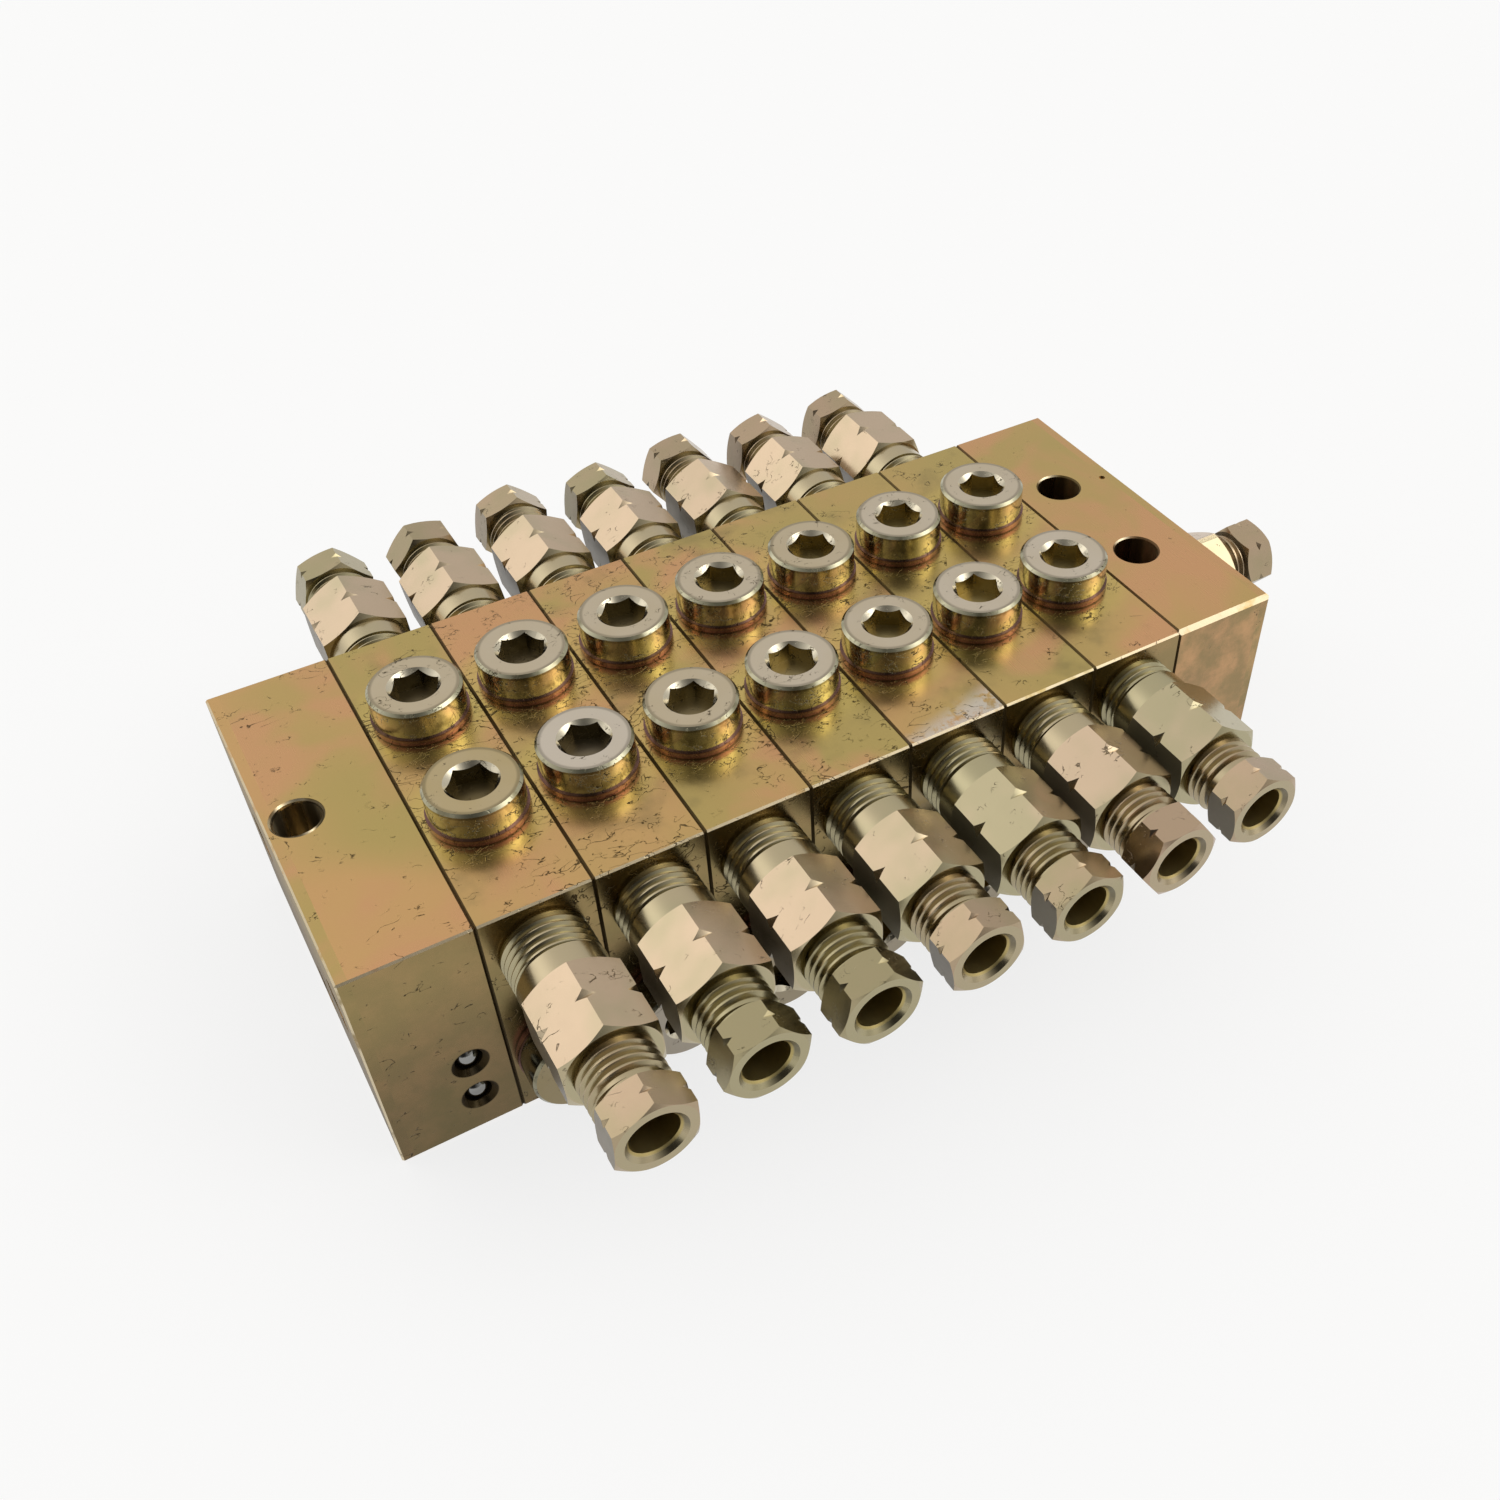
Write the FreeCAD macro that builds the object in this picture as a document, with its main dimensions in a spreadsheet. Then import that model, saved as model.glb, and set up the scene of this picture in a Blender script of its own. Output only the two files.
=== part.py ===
import FreeCAD, Part
import math
import os
import Sketcher
from FreeCAD import Placement, Rotation, Vector

# Sectional lubricant divider block, in millimetres.
# X runs along the stack from the end block to the inlet block, Y from the front face to the rear face,
# Z up. The origin is the centre of the stack's bottom face.

SECTION_COUNT = 7
COS30 = math.cos(math.radians(30))
HEX_CHAMFER_RISE = math.tan(math.radians(30))
CONE_RISE = math.tan(math.radians(12))

SIZES = {
    "section_length": (20.5, "thickness of one working section along the stack"),
    "end_block_length": (22.75, "length of the end block along the stack"),
    "inlet_block_length": (22.75, "length of the inlet block along the stack"),
    "block_width": (78.5, "front face to rear face"),
    "block_height": (49.5, "bottom face to top face"),
    "edge_break": (0.35, "chamfer on the edges of every block"),
    "inlet_front_chamfer": (0.9, "broad chamfer along the inlet block's top front edge"),
    "thread_play": (0.05, "radial play between a screwed shank and its hole"),
    "port_spare": (0.5, "hole depth past the end of a screwed shank"),
    "plug_row_offset": (14.4, "top plug axis from the stack's middle plane"),
    "top_plug_thread": (12.0, "diameter of the top plugs' thread"),
    "top_plug_head": (17.2, "diameter of the top plugs' head"),
    "top_plug_head_height": (5.6, "height of the top plugs' head"),
    "top_washer_width": (17.9, "outer diameter of the top plugs' copper washer"),
    "bore_plug_thread": (14.0, "diameter of the bore plugs' thread"),
    "bore_plug_head": (18.5, "diameter of the bore plugs' head"),
    "bore_plug_head_height": (6.5, "height of the bore plugs' head"),
    "bore_washer_width": (18.9, "outer diameter of the bore plugs' copper washer"),
    "plug_thread_length": (9.0, "length of every screw plug's thread below its washer"),
    "plug_head_chamfer": (0.5, "chamfer on a plug head's outer rim"),
    "plug_socket_flats": (8.0, "across flats of the hex socket"),
    "plug_socket_mouth": (9.8, "diameter of the socket's chamfered mouth"),
    "plug_socket_depth": (4.0, "depth of the hex socket"),
    "washer_thickness": (1.5, "thickness of the copper sealing washers"),
    "washer_play": (0.15, "radial play of a washer on the thread"),
    "outlet_height": (38.8, "height of the outlet axes"),
    "union_thread": (16.0, "diameter of the union body's thread"),
    "union_thread_root": (14.6, "root diameter of the union body's exposed thread"),
    "union_thread_length": (9.5, "length of the union thread inside the block"),
    "union_stand_off": (10.9, "block face to the union's hexagon"),
    "union_collar": (16.2, "diameter of the smooth collar beside the hexagon"),
    "union_collar_length": (4.5, "length of the smooth collar"),
    "union_hex_flats": (17.0, "across flats of the union body"),
    "union_hex_length": (15.7, "length of the union's hexagon"),
    "hex_clearance": (1.0, "how far turning cuts reach past a hexagon's corners"),
    "union_mark_depth": (0.85, "depth of the V mark turned across the union hexagon's corners"),
    "union_mark_width": (2.0, "width of that V mark at the corners"),
    "union_socket_depth": (12.5, "depth of the nut thread in the union body"),
    "nut_thread": (14.0, "diameter of the tube nut's thread"),
    "nut_thread_root": (12.4, "root diameter of the nut's exposed thread"),
    "nut_engagement": (6.0, "length of the nut's thread inside the union body"),
    "nut_exposed": (6.5, "length of nut thread left showing"),
    "nut_hex_flats": (14.0, "across flats of the tube nut"),
    "nut_hex_length": (7.2, "length of the nut's hexagon"),
    "nut_mark_depth": (0.55, "depth of the V mark turned across the nut hexagon's corners"),
    "nut_mark_width": (1.3, "width of that V mark at the corners"),
    "tube_bore": (8.6, "bore of the nut, for 8 mm tube"),
    "tube_bore_mouth": (10.8, "diameter of the nut's lead-in"),
    "ring_cone_mouth": (10.4, "diameter of the cones that grip the cutting ring"),
    "ring_width": (9.9, "largest diameter of the cutting ring"),
    "ring_length": (6.0, "length of the cutting ring"),
    "ring_play": (0.05, "radial play of the cutting ring on the tube"),
    "ring_back_chamfer": (0.6, "chamfer on the back of the cutting ring, towards the nut"),
    "ring_seat_gap": (0.1, "gap between the ring's back and the cone in the nut"),
    "tube_width": (8.0, "outer diameter of the tube that the unions take"),
    "tube_stop_depth": (2.0, "depth of the tube stop below the cone"),
    "passage": (4.0, "diameter of the oil passages to the outlets"),
    "riser": (4.6, "diameter of the risers from the piston bores to the top plugs"),
    "inlet_height": (22.7, "height of the inlet axis"),
    "inlet_thread_length": (8.0, "length of the inlet union's thread inside the block"),
    "inlet_stand_off": (7.5, "end face to the inlet union's hexagon"),
    "inlet_nut_exposed": (5.2, "length of thread left showing on the inlet's nut"),
    "bore_height": (13.9, "height of the piston bores"),
    "piston_bore": (6.5, "diameter of the piston bores"),
    "piston_play": (0.02, "radial running clearance of the pistons"),
    "piston_travel": (12.0, "full travel of a piston between its bore plugs"),
    "piston_gap": (0.25, "gap left at a bore plug at the end of the travel"),
    "piston_groove_offset": (12.0, "piston middle to the middle of each groove"),
    "piston_groove_width": (8.0, "length of each piston groove"),
    "piston_groove": (4.4, "diameter of the piston at its grooves"),
    "piston_end_chamfer": (0.3, "chamfer on the piston's ends"),
    "feed_height": (18.1, "height of the feed and signal passages"),
    "return_height": (8.8, "height of the return passages"),
    "signal_offset": (26.0, "signal and return passages from the stack's middle plane"),
    "signal_passage": (3.5, "diameter of the signal passages"),
    "signal_entry": (19.0, "where the slanted signal passages enter the piston bore"),
    "inlet_link_reach": (8.0, "length of the slanted link passages in the inlet block"),
    "return_passage": (2.4, "diameter of the return passages"),
    "seal_seat": (7.2, "diameter of the O-ring seats at the joints"),
    "seal_seat_depth": (1.2, "depth of the O-ring seats"),
    "seal_play": (0.05, "play of an O-ring in its seat"),
    "seal_inner": (4.6, "inner diameter of the O-rings"),
    "rod_thread": (5.0, "diameter of the tie rods"),
    "rod_hole_play": (0.25, "radial play of the tie rods in the blocks"),
    "rod_high_offset": (23.0, "upper tie rods from the stack's middle plane"),
    "rod_high_height": (27.0, "height of the upper tie rods"),
    "rod_low_height": (6.1, "height of the lower tie rod"),
    "rod_nut_flats": (8.0, "across flats of the tie rod nuts"),
    "rod_nut_height": (4.0, "height of the tie rod nuts"),
    "rod_nut_pocket": (10.0, "diameter of the pockets for the tie rod nuts"),
    "rod_nut_pocket_depth": (5.5, "depth of the pockets for the tie rod nuts"),
    "rod_nut_projection": (0.8, "tie rod length past its nut"),
    "gauge_port_thread": (8.92, "bore of the threaded hole in the end block's top"),
    "gauge_port_mouth": (9.6, "diameter of the threaded hole's chamfer"),
    "gauge_port_depth": (12.0, "depth of the threaded hole"),
    "gauge_port_inset": (5.7, "threaded hole from the end block's outer face"),
    "fixing_hole": (9.0, "diameter of the fixing holes"),
    "fixing_hole_mouth": (9.6, "diameter of the fixing holes' chamfers"),
    "fixing_hole_inset": (9.6, "fixing holes from the inlet block's joint face"),
    "fixing_hole_offset": (13.4, "fixing holes from the stack's middle plane"),
    "centre_mark": (1.3, "diameter of the small centre mark on the inlet block"),
    "centre_mark_depth": (0.4, "depth of the centre mark"),
    "centre_mark_inset": (19.9, "centre mark from the inlet block's joint face"),
    "centre_mark_offset": (11.6, "centre mark from the stack's middle plane"),
    "ball": (5.0, "diameter of the sealing balls"),
    "ball_inset": (16.0, "sealing balls from the end block's outer face"),
    "ball_seat_mouth": (6.7, "diameter of the recess round a sealing ball"),
    "ball_seat_chamfer_depth": (0.9, "depth of the recess's sloping rim"),
    "ball_sink": (0.5, "outermost point of a ball below the face"),
}

# Outlets, from the end block to the inlet block. Each union is screwed in and turned as it was left:
# extra stand-off of the union (mm), extra thread showing on its nut (mm),
# turn of the union's hexagon and turn of the nut's hexagon (degrees).
FRONT_OUTLETS = [
    (1.4, 1.5, 2, -4),
    (0.0, 0.1, 0, -17),
    (0.0, 0.3, 0, -17),
    (0.0, 0.1, 0, 8),
    (0.0, 0.3, 0, 0),
    (-0.4, 0.0, 0, 35),
    (-1.8, -0.3, -1, 5),
]
REAR_OUTLETS = [
    (0.0, -0.6, 1, -17),
    (0.0, -0.6, 7, 19),
    (0.6, 1.7, 4, -11),
    (0.6, -0.4, 4, -10),
    (0.6, 1.1, 0, -20),
    (0.0, -0.6, 12, -10),
    (0.0, -0.6, 17, -15),
]
INLET_TURN = (0, -20)

# Top plugs, from the end block to the inlet block: how each was left turned (degrees).
FRONT_PLUG_TURNS = [23, 7, 27, -22, -3, -24, -12]
REAR_PLUG_TURNS = [-29, 30, 20, -3, -1, 10, -8]

doc = FreeCAD.newDocument("lubricant_divider_block")
sheet = doc.addObject("Spreadsheet::Sheet", "Sizes")


class Size:
    """A length with the sheet formula that gives it."""

    def __init__(self, value, formula):
        self.value = value
        self.formula = formula

    def _join(self, other, sign, result, swap=False):
        other_formula = other.formula if isinstance(other, Size) else repr(other)
        pair = (other_formula, self.formula) if swap else (self.formula, other_formula)
        return Size(result, "(%s %s %s)" % (pair[0], sign, pair[1]))

    def __add__(self, other):
        return self._join(other, "+", self.value + plain(other))

    def __radd__(self, other):
        return self._join(other, "+", plain(other) + self.value, swap=True)

    def __sub__(self, other):
        return self._join(other, "-", self.value - plain(other))

    def __rsub__(self, other):
        return self._join(other, "-", plain(other) - self.value, swap=True)

    def __mul__(self, other):
        return self._join(other, "*", self.value * plain(other))

    def __rmul__(self, other):
        return self._join(other, "*", plain(other) * self.value, swap=True)

    def __truediv__(self, other):
        return self._join(other, "/", self.value / plain(other))

    def __neg__(self):
        return Size(-self.value, "(-1 * %s)" % self.formula)


def plain(quantity):
    """The number in a Size, or the number itself."""
    return quantity.value if isinstance(quantity, Size) else quantity


def fill_sheet():
    """Write every driving size into the sheet, one row each, and return them by name."""
    sizes = {}
    for row, (name, (value, note)) in enumerate(SIZES.items(), start=1):
        sheet.set("A%d" % row, name)
        sheet.set("B%d" % row, str(value))
        sheet.set("C%d" % row, note)
        sheet.setAlias("B%d" % row, name)
        sizes[name] = Size(value, "Sizes.%s" % name)
    doc.recompute()
    return sizes


size = fill_sheet()
ZERO = Size(0.0, "(0)")


def bind(item, prop, quantity):
    """Tie one property of an object to the sheet."""
    if isinstance(quantity, Size):
        item.setExpression(prop, quantity.formula)
    else:
        setattr(item, prop, quantity)


def new_body(name, allow_groups=False):
    """Start a sub-part."""
    body = doc.addObject("PartDesign::Body", name)
    body.Label = name
    body.AllowCompound = allow_groups
    return body


def origin_plane(body, role):
    """One of the body's own origin planes."""
    for feature in body.Origin.OriginFeatures:
        if feature.Role == role:
            return feature
    raise ValueError(role)


def new_sketch(body, role, offset=None):
    """A sketch on an origin plane, moved along the plane's normal by offset."""
    sketch = body.newObject("Sketcher::SketchObject", "%s_sketch" % body.Name)
    sketch.AttachmentSupport = [(origin_plane(body, role), "")]
    sketch.MapMode = "FlatFace"
    if offset is not None:
        sketch.setExpression("AttachmentOffset.Base.z", offset.formula)
    return sketch


def pin_point(constraints, formulas, geometry, point, corner):
    """Fix one sketch point at a place given by two sizes."""
    for kind, coordinate in zip(("DistanceX", "DistanceY"), corner):
        constraints.append(Sketcher.Constraint(kind, -1, 1, geometry, point, plain(coordinate)))
        formulas.append(coordinate.formula if isinstance(coordinate, Size) else None)


def apply_constraints(sketch, constraints, formulas):
    """Add constraints in one go and tie each to its formula."""
    sketch.addConstraint(constraints)
    for index, formula in enumerate(formulas):
        if formula is not None:
            sketch.setExpression("Constraints[%d]" % index, formula)


def draw_outlines(sketch, outlines):
    """Closed straight-sided outlines, each a list of corners."""
    constraints = []
    formulas = []
    start = 0
    for corners in outlines:
        count = len(corners)
        spots = [Vector(plain(across), plain(up), 0) for across, up in corners]
        for index in range(count):
            sketch.addGeometry(Part.LineSegment(spots[index], spots[(index + 1) % count]))
        for index in range(count):
            following = start + (index + 1) % count
            constraints.append(Sketcher.Constraint("Coincident", start + index, 2, following, 1))
            formulas.append(None)
            pin_point(constraints, formulas, start + index, 1, corners[index])
        start += count
    apply_constraints(sketch, constraints, formulas)


def draw_circles(sketch, circles):
    """Circles, each given as (across, up, diameter)."""
    constraints = []
    formulas = []
    for index, (across, up, diameter) in enumerate(circles):
        centre = Vector(plain(across), plain(up), 0)
        sketch.addGeometry(Part.Circle(centre, Vector(0, 0, 1), plain(diameter) / 2))
        pin_point(constraints, formulas, index, 3, (across, up))
        constraints.append(Sketcher.Constraint("Diameter", index, plain(diameter)))
        formulas.append(diameter.formula)
    apply_constraints(sketch, constraints, formulas)


def hexagon(flats):
    """Corners of a hexagon with one corner straight up, from its width across flats."""
    corner = flats / (2 * COS30)
    half = flats / 2
    return [
        (0.0, corner),
        (-half, corner / 2),
        (-half, -corner / 2),
        (0.0, -corner),
        (half, -corner / 2),
        (half, corner / 2),
    ]


def pad(body, sketch, length, reverse=False):
    """Raise a sketch into a solid."""
    feature = body.newObject("PartDesign::Pad", "%s_pad" % body.Name)
    feature.Profile = sketch
    feature.Reversed = reverse
    bind(feature, "Length", length)
    return feature


def pocket(body, sketch, depth, along_normal=False, both_ways=False):
    """Cut a sketch into the solid, along the plane's normal or against it."""
    feature = body.newObject("PartDesign::Pocket", "%s_pocket" % body.Name)
    feature.Profile = sketch
    feature.Reversed = along_normal
    if both_ways:
        feature.SideType = "Symmetric"
    bind(feature, "Length", depth)
    return feature


def drill(body, role, circles, depth, offset=None, along_normal=False, both_ways=False):
    """Cut round holes square to one of the origin planes."""
    sketch = new_sketch(body, role, offset)
    draw_circles(sketch, circles)
    return pocket(body, sketch, depth, along_normal, both_ways)


def turn_profile(body, outlines, cut=False):
    """Revolve outlines, drawn as (radius, height), about the body's Z axis."""
    sketch = new_sketch(body, "XZ_Plane")
    draw_outlines(sketch, outlines)
    kind = "PartDesign::Groove" if cut else "PartDesign::Revolution"
    feature = body.newObject(kind, "%s_turned" % body.Name)
    feature.Profile = sketch
    feature.ReferenceAxis = (sketch, ["V_Axis"])
    feature.Angle = 360
    return feature


def slanted_passage(body, start, start_offset, finish, finish_offset, diameter):
    """A slanted round passage between two places (across, up) on planes square to X."""
    ends = []
    for place, offset in ((start, start_offset), (finish, finish_offset)):
        sketch = new_sketch(body, "YZ_Plane", offset)
        draw_circles(sketch, [(place[0], place[1], diameter)])
        ends.append(sketch)
    feature = body.newObject("PartDesign::SubtractiveLoft", "%s_slant" % body.Name)
    feature.Profile = ends[0]
    feature.Sections = [ends[1]]
    return feature


def mirror_front_to_rear(body, features):
    """Repeat cuts of the front half on the rear half."""
    feature = body.newObject("PartDesign::Mirrored", "%s_mirrored" % body.Name)
    feature.Originals = features
    feature.MirrorPlane = (origin_plane(body, "XZ_Plane"), [""])
    body.Tip = feature
    return feature


def set_down(body, place, rotation=None):
    """Put a finished body in its place in the stack."""
    if rotation is not None:
        body.Placement = Placement(Vector(0, 0, 0), rotation)
    for axis, coordinate in zip("xyz", place):
        if isinstance(coordinate, Size):
            body.setExpression("Placement.Base.%s" % axis, coordinate.formula)
    return body


# Places shared by several pieces.

half_width = size["block_width"] / 2
stack_length = (
    size["end_block_length"] + size["section_length"] * SECTION_COUNT + size["inlet_block_length"]
)
stack_left = -stack_length / 2
stack_right = stack_length / 2
sections_left = stack_left + size["end_block_length"]
sections_right = sections_left + size["section_length"] * SECTION_COUNT
middle_of_section = size["section_length"] / 2
nut_pocket_floor = size["rod_nut_pocket_depth"]
rod_hole = size["rod_thread"] + 2 * size["rod_hole_play"]
piston_length = (
    size["block_width"] - 2 * size["plug_thread_length"] - size["piston_travel"] - 2 * size["piston_gap"]
)

ring_back_in_nut = (
    (size["ring_cone_mouth"] - size["ring_width"]) / 2 + size["ring_back_chamfer"] - size["ring_seat_gap"]
)
ring_back_from_union_end = ring_back_in_nut - size["nut_engagement"]

TIE_RODS = [
    (-size["rod_high_offset"], size["rod_high_height"]),
    (size["rod_high_offset"], size["rod_high_height"]),
    (0.0, size["rod_low_height"]),
]
SIGNALS = [
    (-size["signal_offset"], size["feed_height"]),
    (size["signal_offset"], size["feed_height"]),
]
RETURNS = [
    (-size["signal_offset"], size["return_height"]),
    (size["signal_offset"], size["return_height"]),
]
FEED = (0.0, size["feed_height"])
JOINT_PASSAGES = [FEED] + SIGNALS + RETURNS


def block_blank(name, length):
    """A slab with chamfered edges, standing on Z = 0, with its left face on X = 0."""
    body = new_body(name)
    sketch = new_sketch(body, "XY_Plane")
    draw_outlines(sketch, [[
        (0.0, -half_width),
        (length, -half_width),
        (length, half_width),
        (0.0, half_width),
    ]])
    slab = pad(body, sketch, size["block_height"])
    doc.recompute()
    edges = ["Edge%d" % number for number in range(1, len(slab.Shape.Edges) + 1)]
    chamfer = body.newObject("PartDesign::Chamfer", "%s_edges" % body.Name)
    chamfer.Base = (slab, edges)
    bind(chamfer, "Size", size["edge_break"])
    return body


def cut_seal_seats(body, length):
    """O-ring seats round the passages in the right-hand joint face."""
    seats = [(across, up, size["seal_seat"]) for across, up in JOINT_PASSAGES]
    drill(body, "YZ_Plane", seats, size["seal_seat_depth"], offset=length)


def cut_rod_holes(body, length):
    """Clear holes for the tie rods, right through the block."""
    holes = [(across, up, rod_hole) for across, up in TIE_RODS]
    drill(body, "YZ_Plane", holes, length, along_normal=True)


def working_section(index):
    """One working section: piston bore, its plug ports, outlet ports, risers and joint passages."""
    length = size["section_length"]
    body = block_blank("section_%d" % (index + 1), length)
    middle = middle_of_section
    plug_depth = size["plug_thread_length"]
    outlet_depth = size["union_thread_length"] + size["port_spare"]
    front = half_width

    drill(body, "XZ_Plane", [(middle, size["bore_height"], size["piston_bore"])],
          size["block_width"], both_ways=True)
    through = [(across, up, rod_hole) for across, up in TIE_RODS]
    through.append((FEED[0], FEED[1], size["passage"]))
    through += [(across, up, size["return_passage"]) for across, up in RETURNS]
    drill(body, "YZ_Plane", through, length, along_normal=True)
    cut_seal_seats(body, length)
    receiving = [(across, up, size["signal_passage"]) for across, up in SIGNALS]
    drill(body, "YZ_Plane", receiving, length / 2, offset=length)
    for (across, up), entry in zip(SIGNALS, (-size["signal_entry"], size["signal_entry"])):
        slanted_passage(body, (across, up), None, (entry, size["bore_height"]), middle,
                        size["signal_passage"])

    bore_port = drill(body, "XZ_Plane", [(middle, size["bore_height"], size["bore_plug_thread"])],
                      plug_depth, offset=front)
    outlet_port = drill(body, "XZ_Plane", [(middle, size["outlet_height"], size["union_thread"])],
                        outlet_depth, offset=front)
    outlet_passage = drill(body, "XZ_Plane", [(middle, size["outlet_height"], size["passage"])],
                           half_width - size["plug_row_offset"], offset=front)
    riser_port = drill(body, "XY_Plane", [(middle, -size["plug_row_offset"], size["top_plug_thread"])],
                       plug_depth + size["port_spare"], offset=size["block_height"])
    riser = drill(body, "XY_Plane", [(middle, -size["plug_row_offset"], size["riser"])],
                  size["block_height"] - size["bore_height"], offset=size["block_height"])
    mirror_front_to_rear(body, [bore_port, outlet_port, outlet_passage, riser_port, riser])
    return set_down(body, (sections_left + length * index, None, None))


def end_block():
    """The closed end of the stack, with a threaded hole in its top and balls in its cross drillings."""
    length = size["end_block_length"]
    body = block_blank("end_block", length)
    cut_rod_holes(body, length)
    pockets = [(across, up, size["rod_nut_pocket"]) for across, up in TIE_RODS]
    drill(body, "YZ_Plane", pockets, nut_pocket_floor, along_normal=True)
    cut_seal_seats(body, length)
    inward = length - size["ball_inset"] + size["signal_passage"] / 2
    links = [(across, up, size["signal_passage"]) for across, up in SIGNALS + RETURNS]
    drill(body, "YZ_Plane", links, inward, offset=length)

    inset = size["gauge_port_inset"]
    drill(body, "XY_Plane", [(inset, 0.0, size["gauge_port_thread"])],
          size["gauge_port_depth"], offset=size["block_height"])
    cut_mouth(body, (inset, 0.0), size["gauge_port_thread"], size["gauge_port_mouth"], size["block_height"])

    for height in (size["feed_height"], size["return_height"]):
        ball_seat(body, height, half_width, along_normal=False)
        ball_seat(body, height, -half_width, along_normal=True)
    return set_down(body, (stack_left, None, None))


def cut_mouth(body, centre, bore, mouth, height):
    """A 45 degree chamfer round the mouth of a vertical hole."""
    depth = (mouth - bore) / 2
    tool = body.newObject("PartDesign::SubtractiveCone", "%s_mouth" % body.Name)
    tool.AttachmentSupport = [(origin_plane(body, "XY_Plane"), "")]
    tool.MapMode = "FlatFace"
    bind(tool, "Height", depth)
    bind(tool, "Radius1", bore / 2)
    bind(tool, "Radius2", mouth / 2)
    for axis, coordinate in zip("xyz", (centre[0], centre[1], height - depth)):
        if isinstance(coordinate, Size):
            tool.setExpression("AttachmentOffset.Base.%s" % axis, coordinate.formula)
    return tool


def ball_seat(body, height, face, along_normal):
    """A cross drilling from one face, with the seat and sloping rim of its sealing ball."""
    inset = size["ball_inset"]
    reach = half_width - size["signal_offset"] + size["signal_passage"] / 2
    drill(body, "XZ_Plane", [(inset, height, size["signal_passage"])], reach, face, along_normal)
    seat_depth = size["ball_sink"] + size["ball"]
    drill(body, "XZ_Plane", [(inset, height, size["ball"])], seat_depth, face, along_normal)
    rim = body.newObject("PartDesign::SubtractiveCone", "%s_rim" % body.Name)
    rim.AttachmentSupport = [(origin_plane(body, "XZ_Plane"), "")]
    rim.MapMode = "FlatFace"
    narrow = size["ball"] / 2
    wide = size["ball_seat_mouth"] / 2
    depth = size["ball_seat_chamfer_depth"]
    bind(rim, "Radius1", wide if along_normal else narrow)
    bind(rim, "Radius2", narrow if along_normal else wide)
    bind(rim, "Height", depth)
    base = face if along_normal else face - depth
    for axis, coordinate in zip("xyz", (inset, height, base)):
        rim.setExpression("AttachmentOffset.Base.%s" % axis, coordinate.formula)


def inlet_block():
    """The fed end of the stack, with its inlet port and two vertical fixing holes."""
    length = size["inlet_block_length"]
    body = block_blank("inlet_block", length)
    cut_rod_holes(body, length)
    pockets = [(across, up, size["rod_nut_pocket"]) for across, up in TIE_RODS]
    drill(body, "YZ_Plane", pockets, nut_pocket_floor, offset=length)
    drill(body, "YZ_Plane", [(0.0, size["inlet_height"], size["union_thread"])],
          size["inlet_thread_length"] + size["port_spare"], offset=length)
    feed_depth = length - size["inlet_thread_length"]
    drill(body, "YZ_Plane", [(FEED[0], FEED[1], size["passage"])], feed_depth, along_normal=True)

    for (across, up), (_, low) in zip(SIGNALS, RETURNS):
        slanted_passage(body, (across, up), None, (across, low), size["inlet_link_reach"],
                        size["signal_passage"])
    returning = [(across, up, size["return_passage"]) for across, up in RETURNS]
    drill(body, "YZ_Plane", returning, size["inlet_link_reach"], along_normal=True)
    corner = new_sketch(body, "YZ_Plane")
    chamfer = size["inlet_front_chamfer"]
    draw_outlines(corner, [[
        (-half_width, size["block_height"]),
        (-half_width, size["block_height"] - chamfer),
        (chamfer - half_width, size["block_height"]),
    ]])
    pocket(body, corner, length, along_normal=True)
    mark = (size["centre_mark_inset"], size["centre_mark_offset"], size["centre_mark"])
    drill(body, "XY_Plane", [mark], size["centre_mark_depth"], offset=size["block_height"])

    hole = (size["fixing_hole_inset"], -size["fixing_hole_offset"])
    bore = drill(body, "XY_Plane", [(hole[0], hole[1], size["fixing_hole"])],
                 size["block_height"], offset=size["block_height"])
    top = cut_mouth(body, hole, size["fixing_hole"], size["fixing_hole_mouth"], size["block_height"])
    mirror_front_to_rear(body, [bore, top])
    return set_down(body, (sections_right, None, None))


def screw_plug(name, thread, head_width, top):
    """A hex socket screw plug, axis up, with the underside of its head on Z = 0 and its face at top."""
    body = new_body(name)
    head = head_width / 2
    shank = thread / 2 - size["thread_play"]
    rim = size["plug_head_chamfer"]
    reach = size["plug_thread_length"] + size["washer_thickness"]
    turn_profile(body, [[
        (0.0, -reach),
        (shank - rim, -reach),
        (shank, rim - reach),
        (shank, 0.0),
        (head, 0.0),
        (head, top - rim),
        (head - rim, top),
        (0.0, top),
    ]])
    socket = new_sketch(body, "XY_Plane", top)
    draw_outlines(socket, [hexagon(size["plug_socket_flats"])])
    pocket(body, socket, size["plug_socket_depth"])
    mouth = size["plug_socket_mouth"] / 2
    inner = size["plug_socket_flats"] / 2
    turn_profile(body, [[
        (0.0, top),
        (0.0, top - (mouth - inner)),
        (inner, top - (mouth - inner)),
        (mouth, top),
    ]], cut=True)
    return body


def sealing_washer(name, thread, width):
    """A flat copper washer for one thread, standing on Z = 0."""
    body = new_body(name)
    inner = thread / 2 + size["washer_play"]
    outer = width / 2
    turn_profile(body, [[
        (inner, 0.0),
        (outer, 0.0),
        (outer, size["washer_thickness"]),
        (inner, size["washer_thickness"]),
    ]])
    return body


def hex_turning_cuts(flats, low, high, mark_depth, mark_width):
    """Outlines to cut off a hexagon: its chamfered ends and the V mark round its corners."""
    corner = flats / (2 * COS30)
    clear = corner + size["hex_clearance"]
    flat = flats / 2
    rise = (clear - flat) * HEX_CHAMFER_RISE
    middle = (low + high) / 2
    floor = corner - mark_depth
    half_mark = (clear - floor) / mark_depth * mark_width / 2
    return [
        [(flat, low), (clear, low + rise), (clear, low)],
        [(floor, middle), (clear, middle + half_mark), (clear, middle - half_mark)],
        [(flat, high), (clear, high), (clear, high - rise)],
    ]


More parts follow.
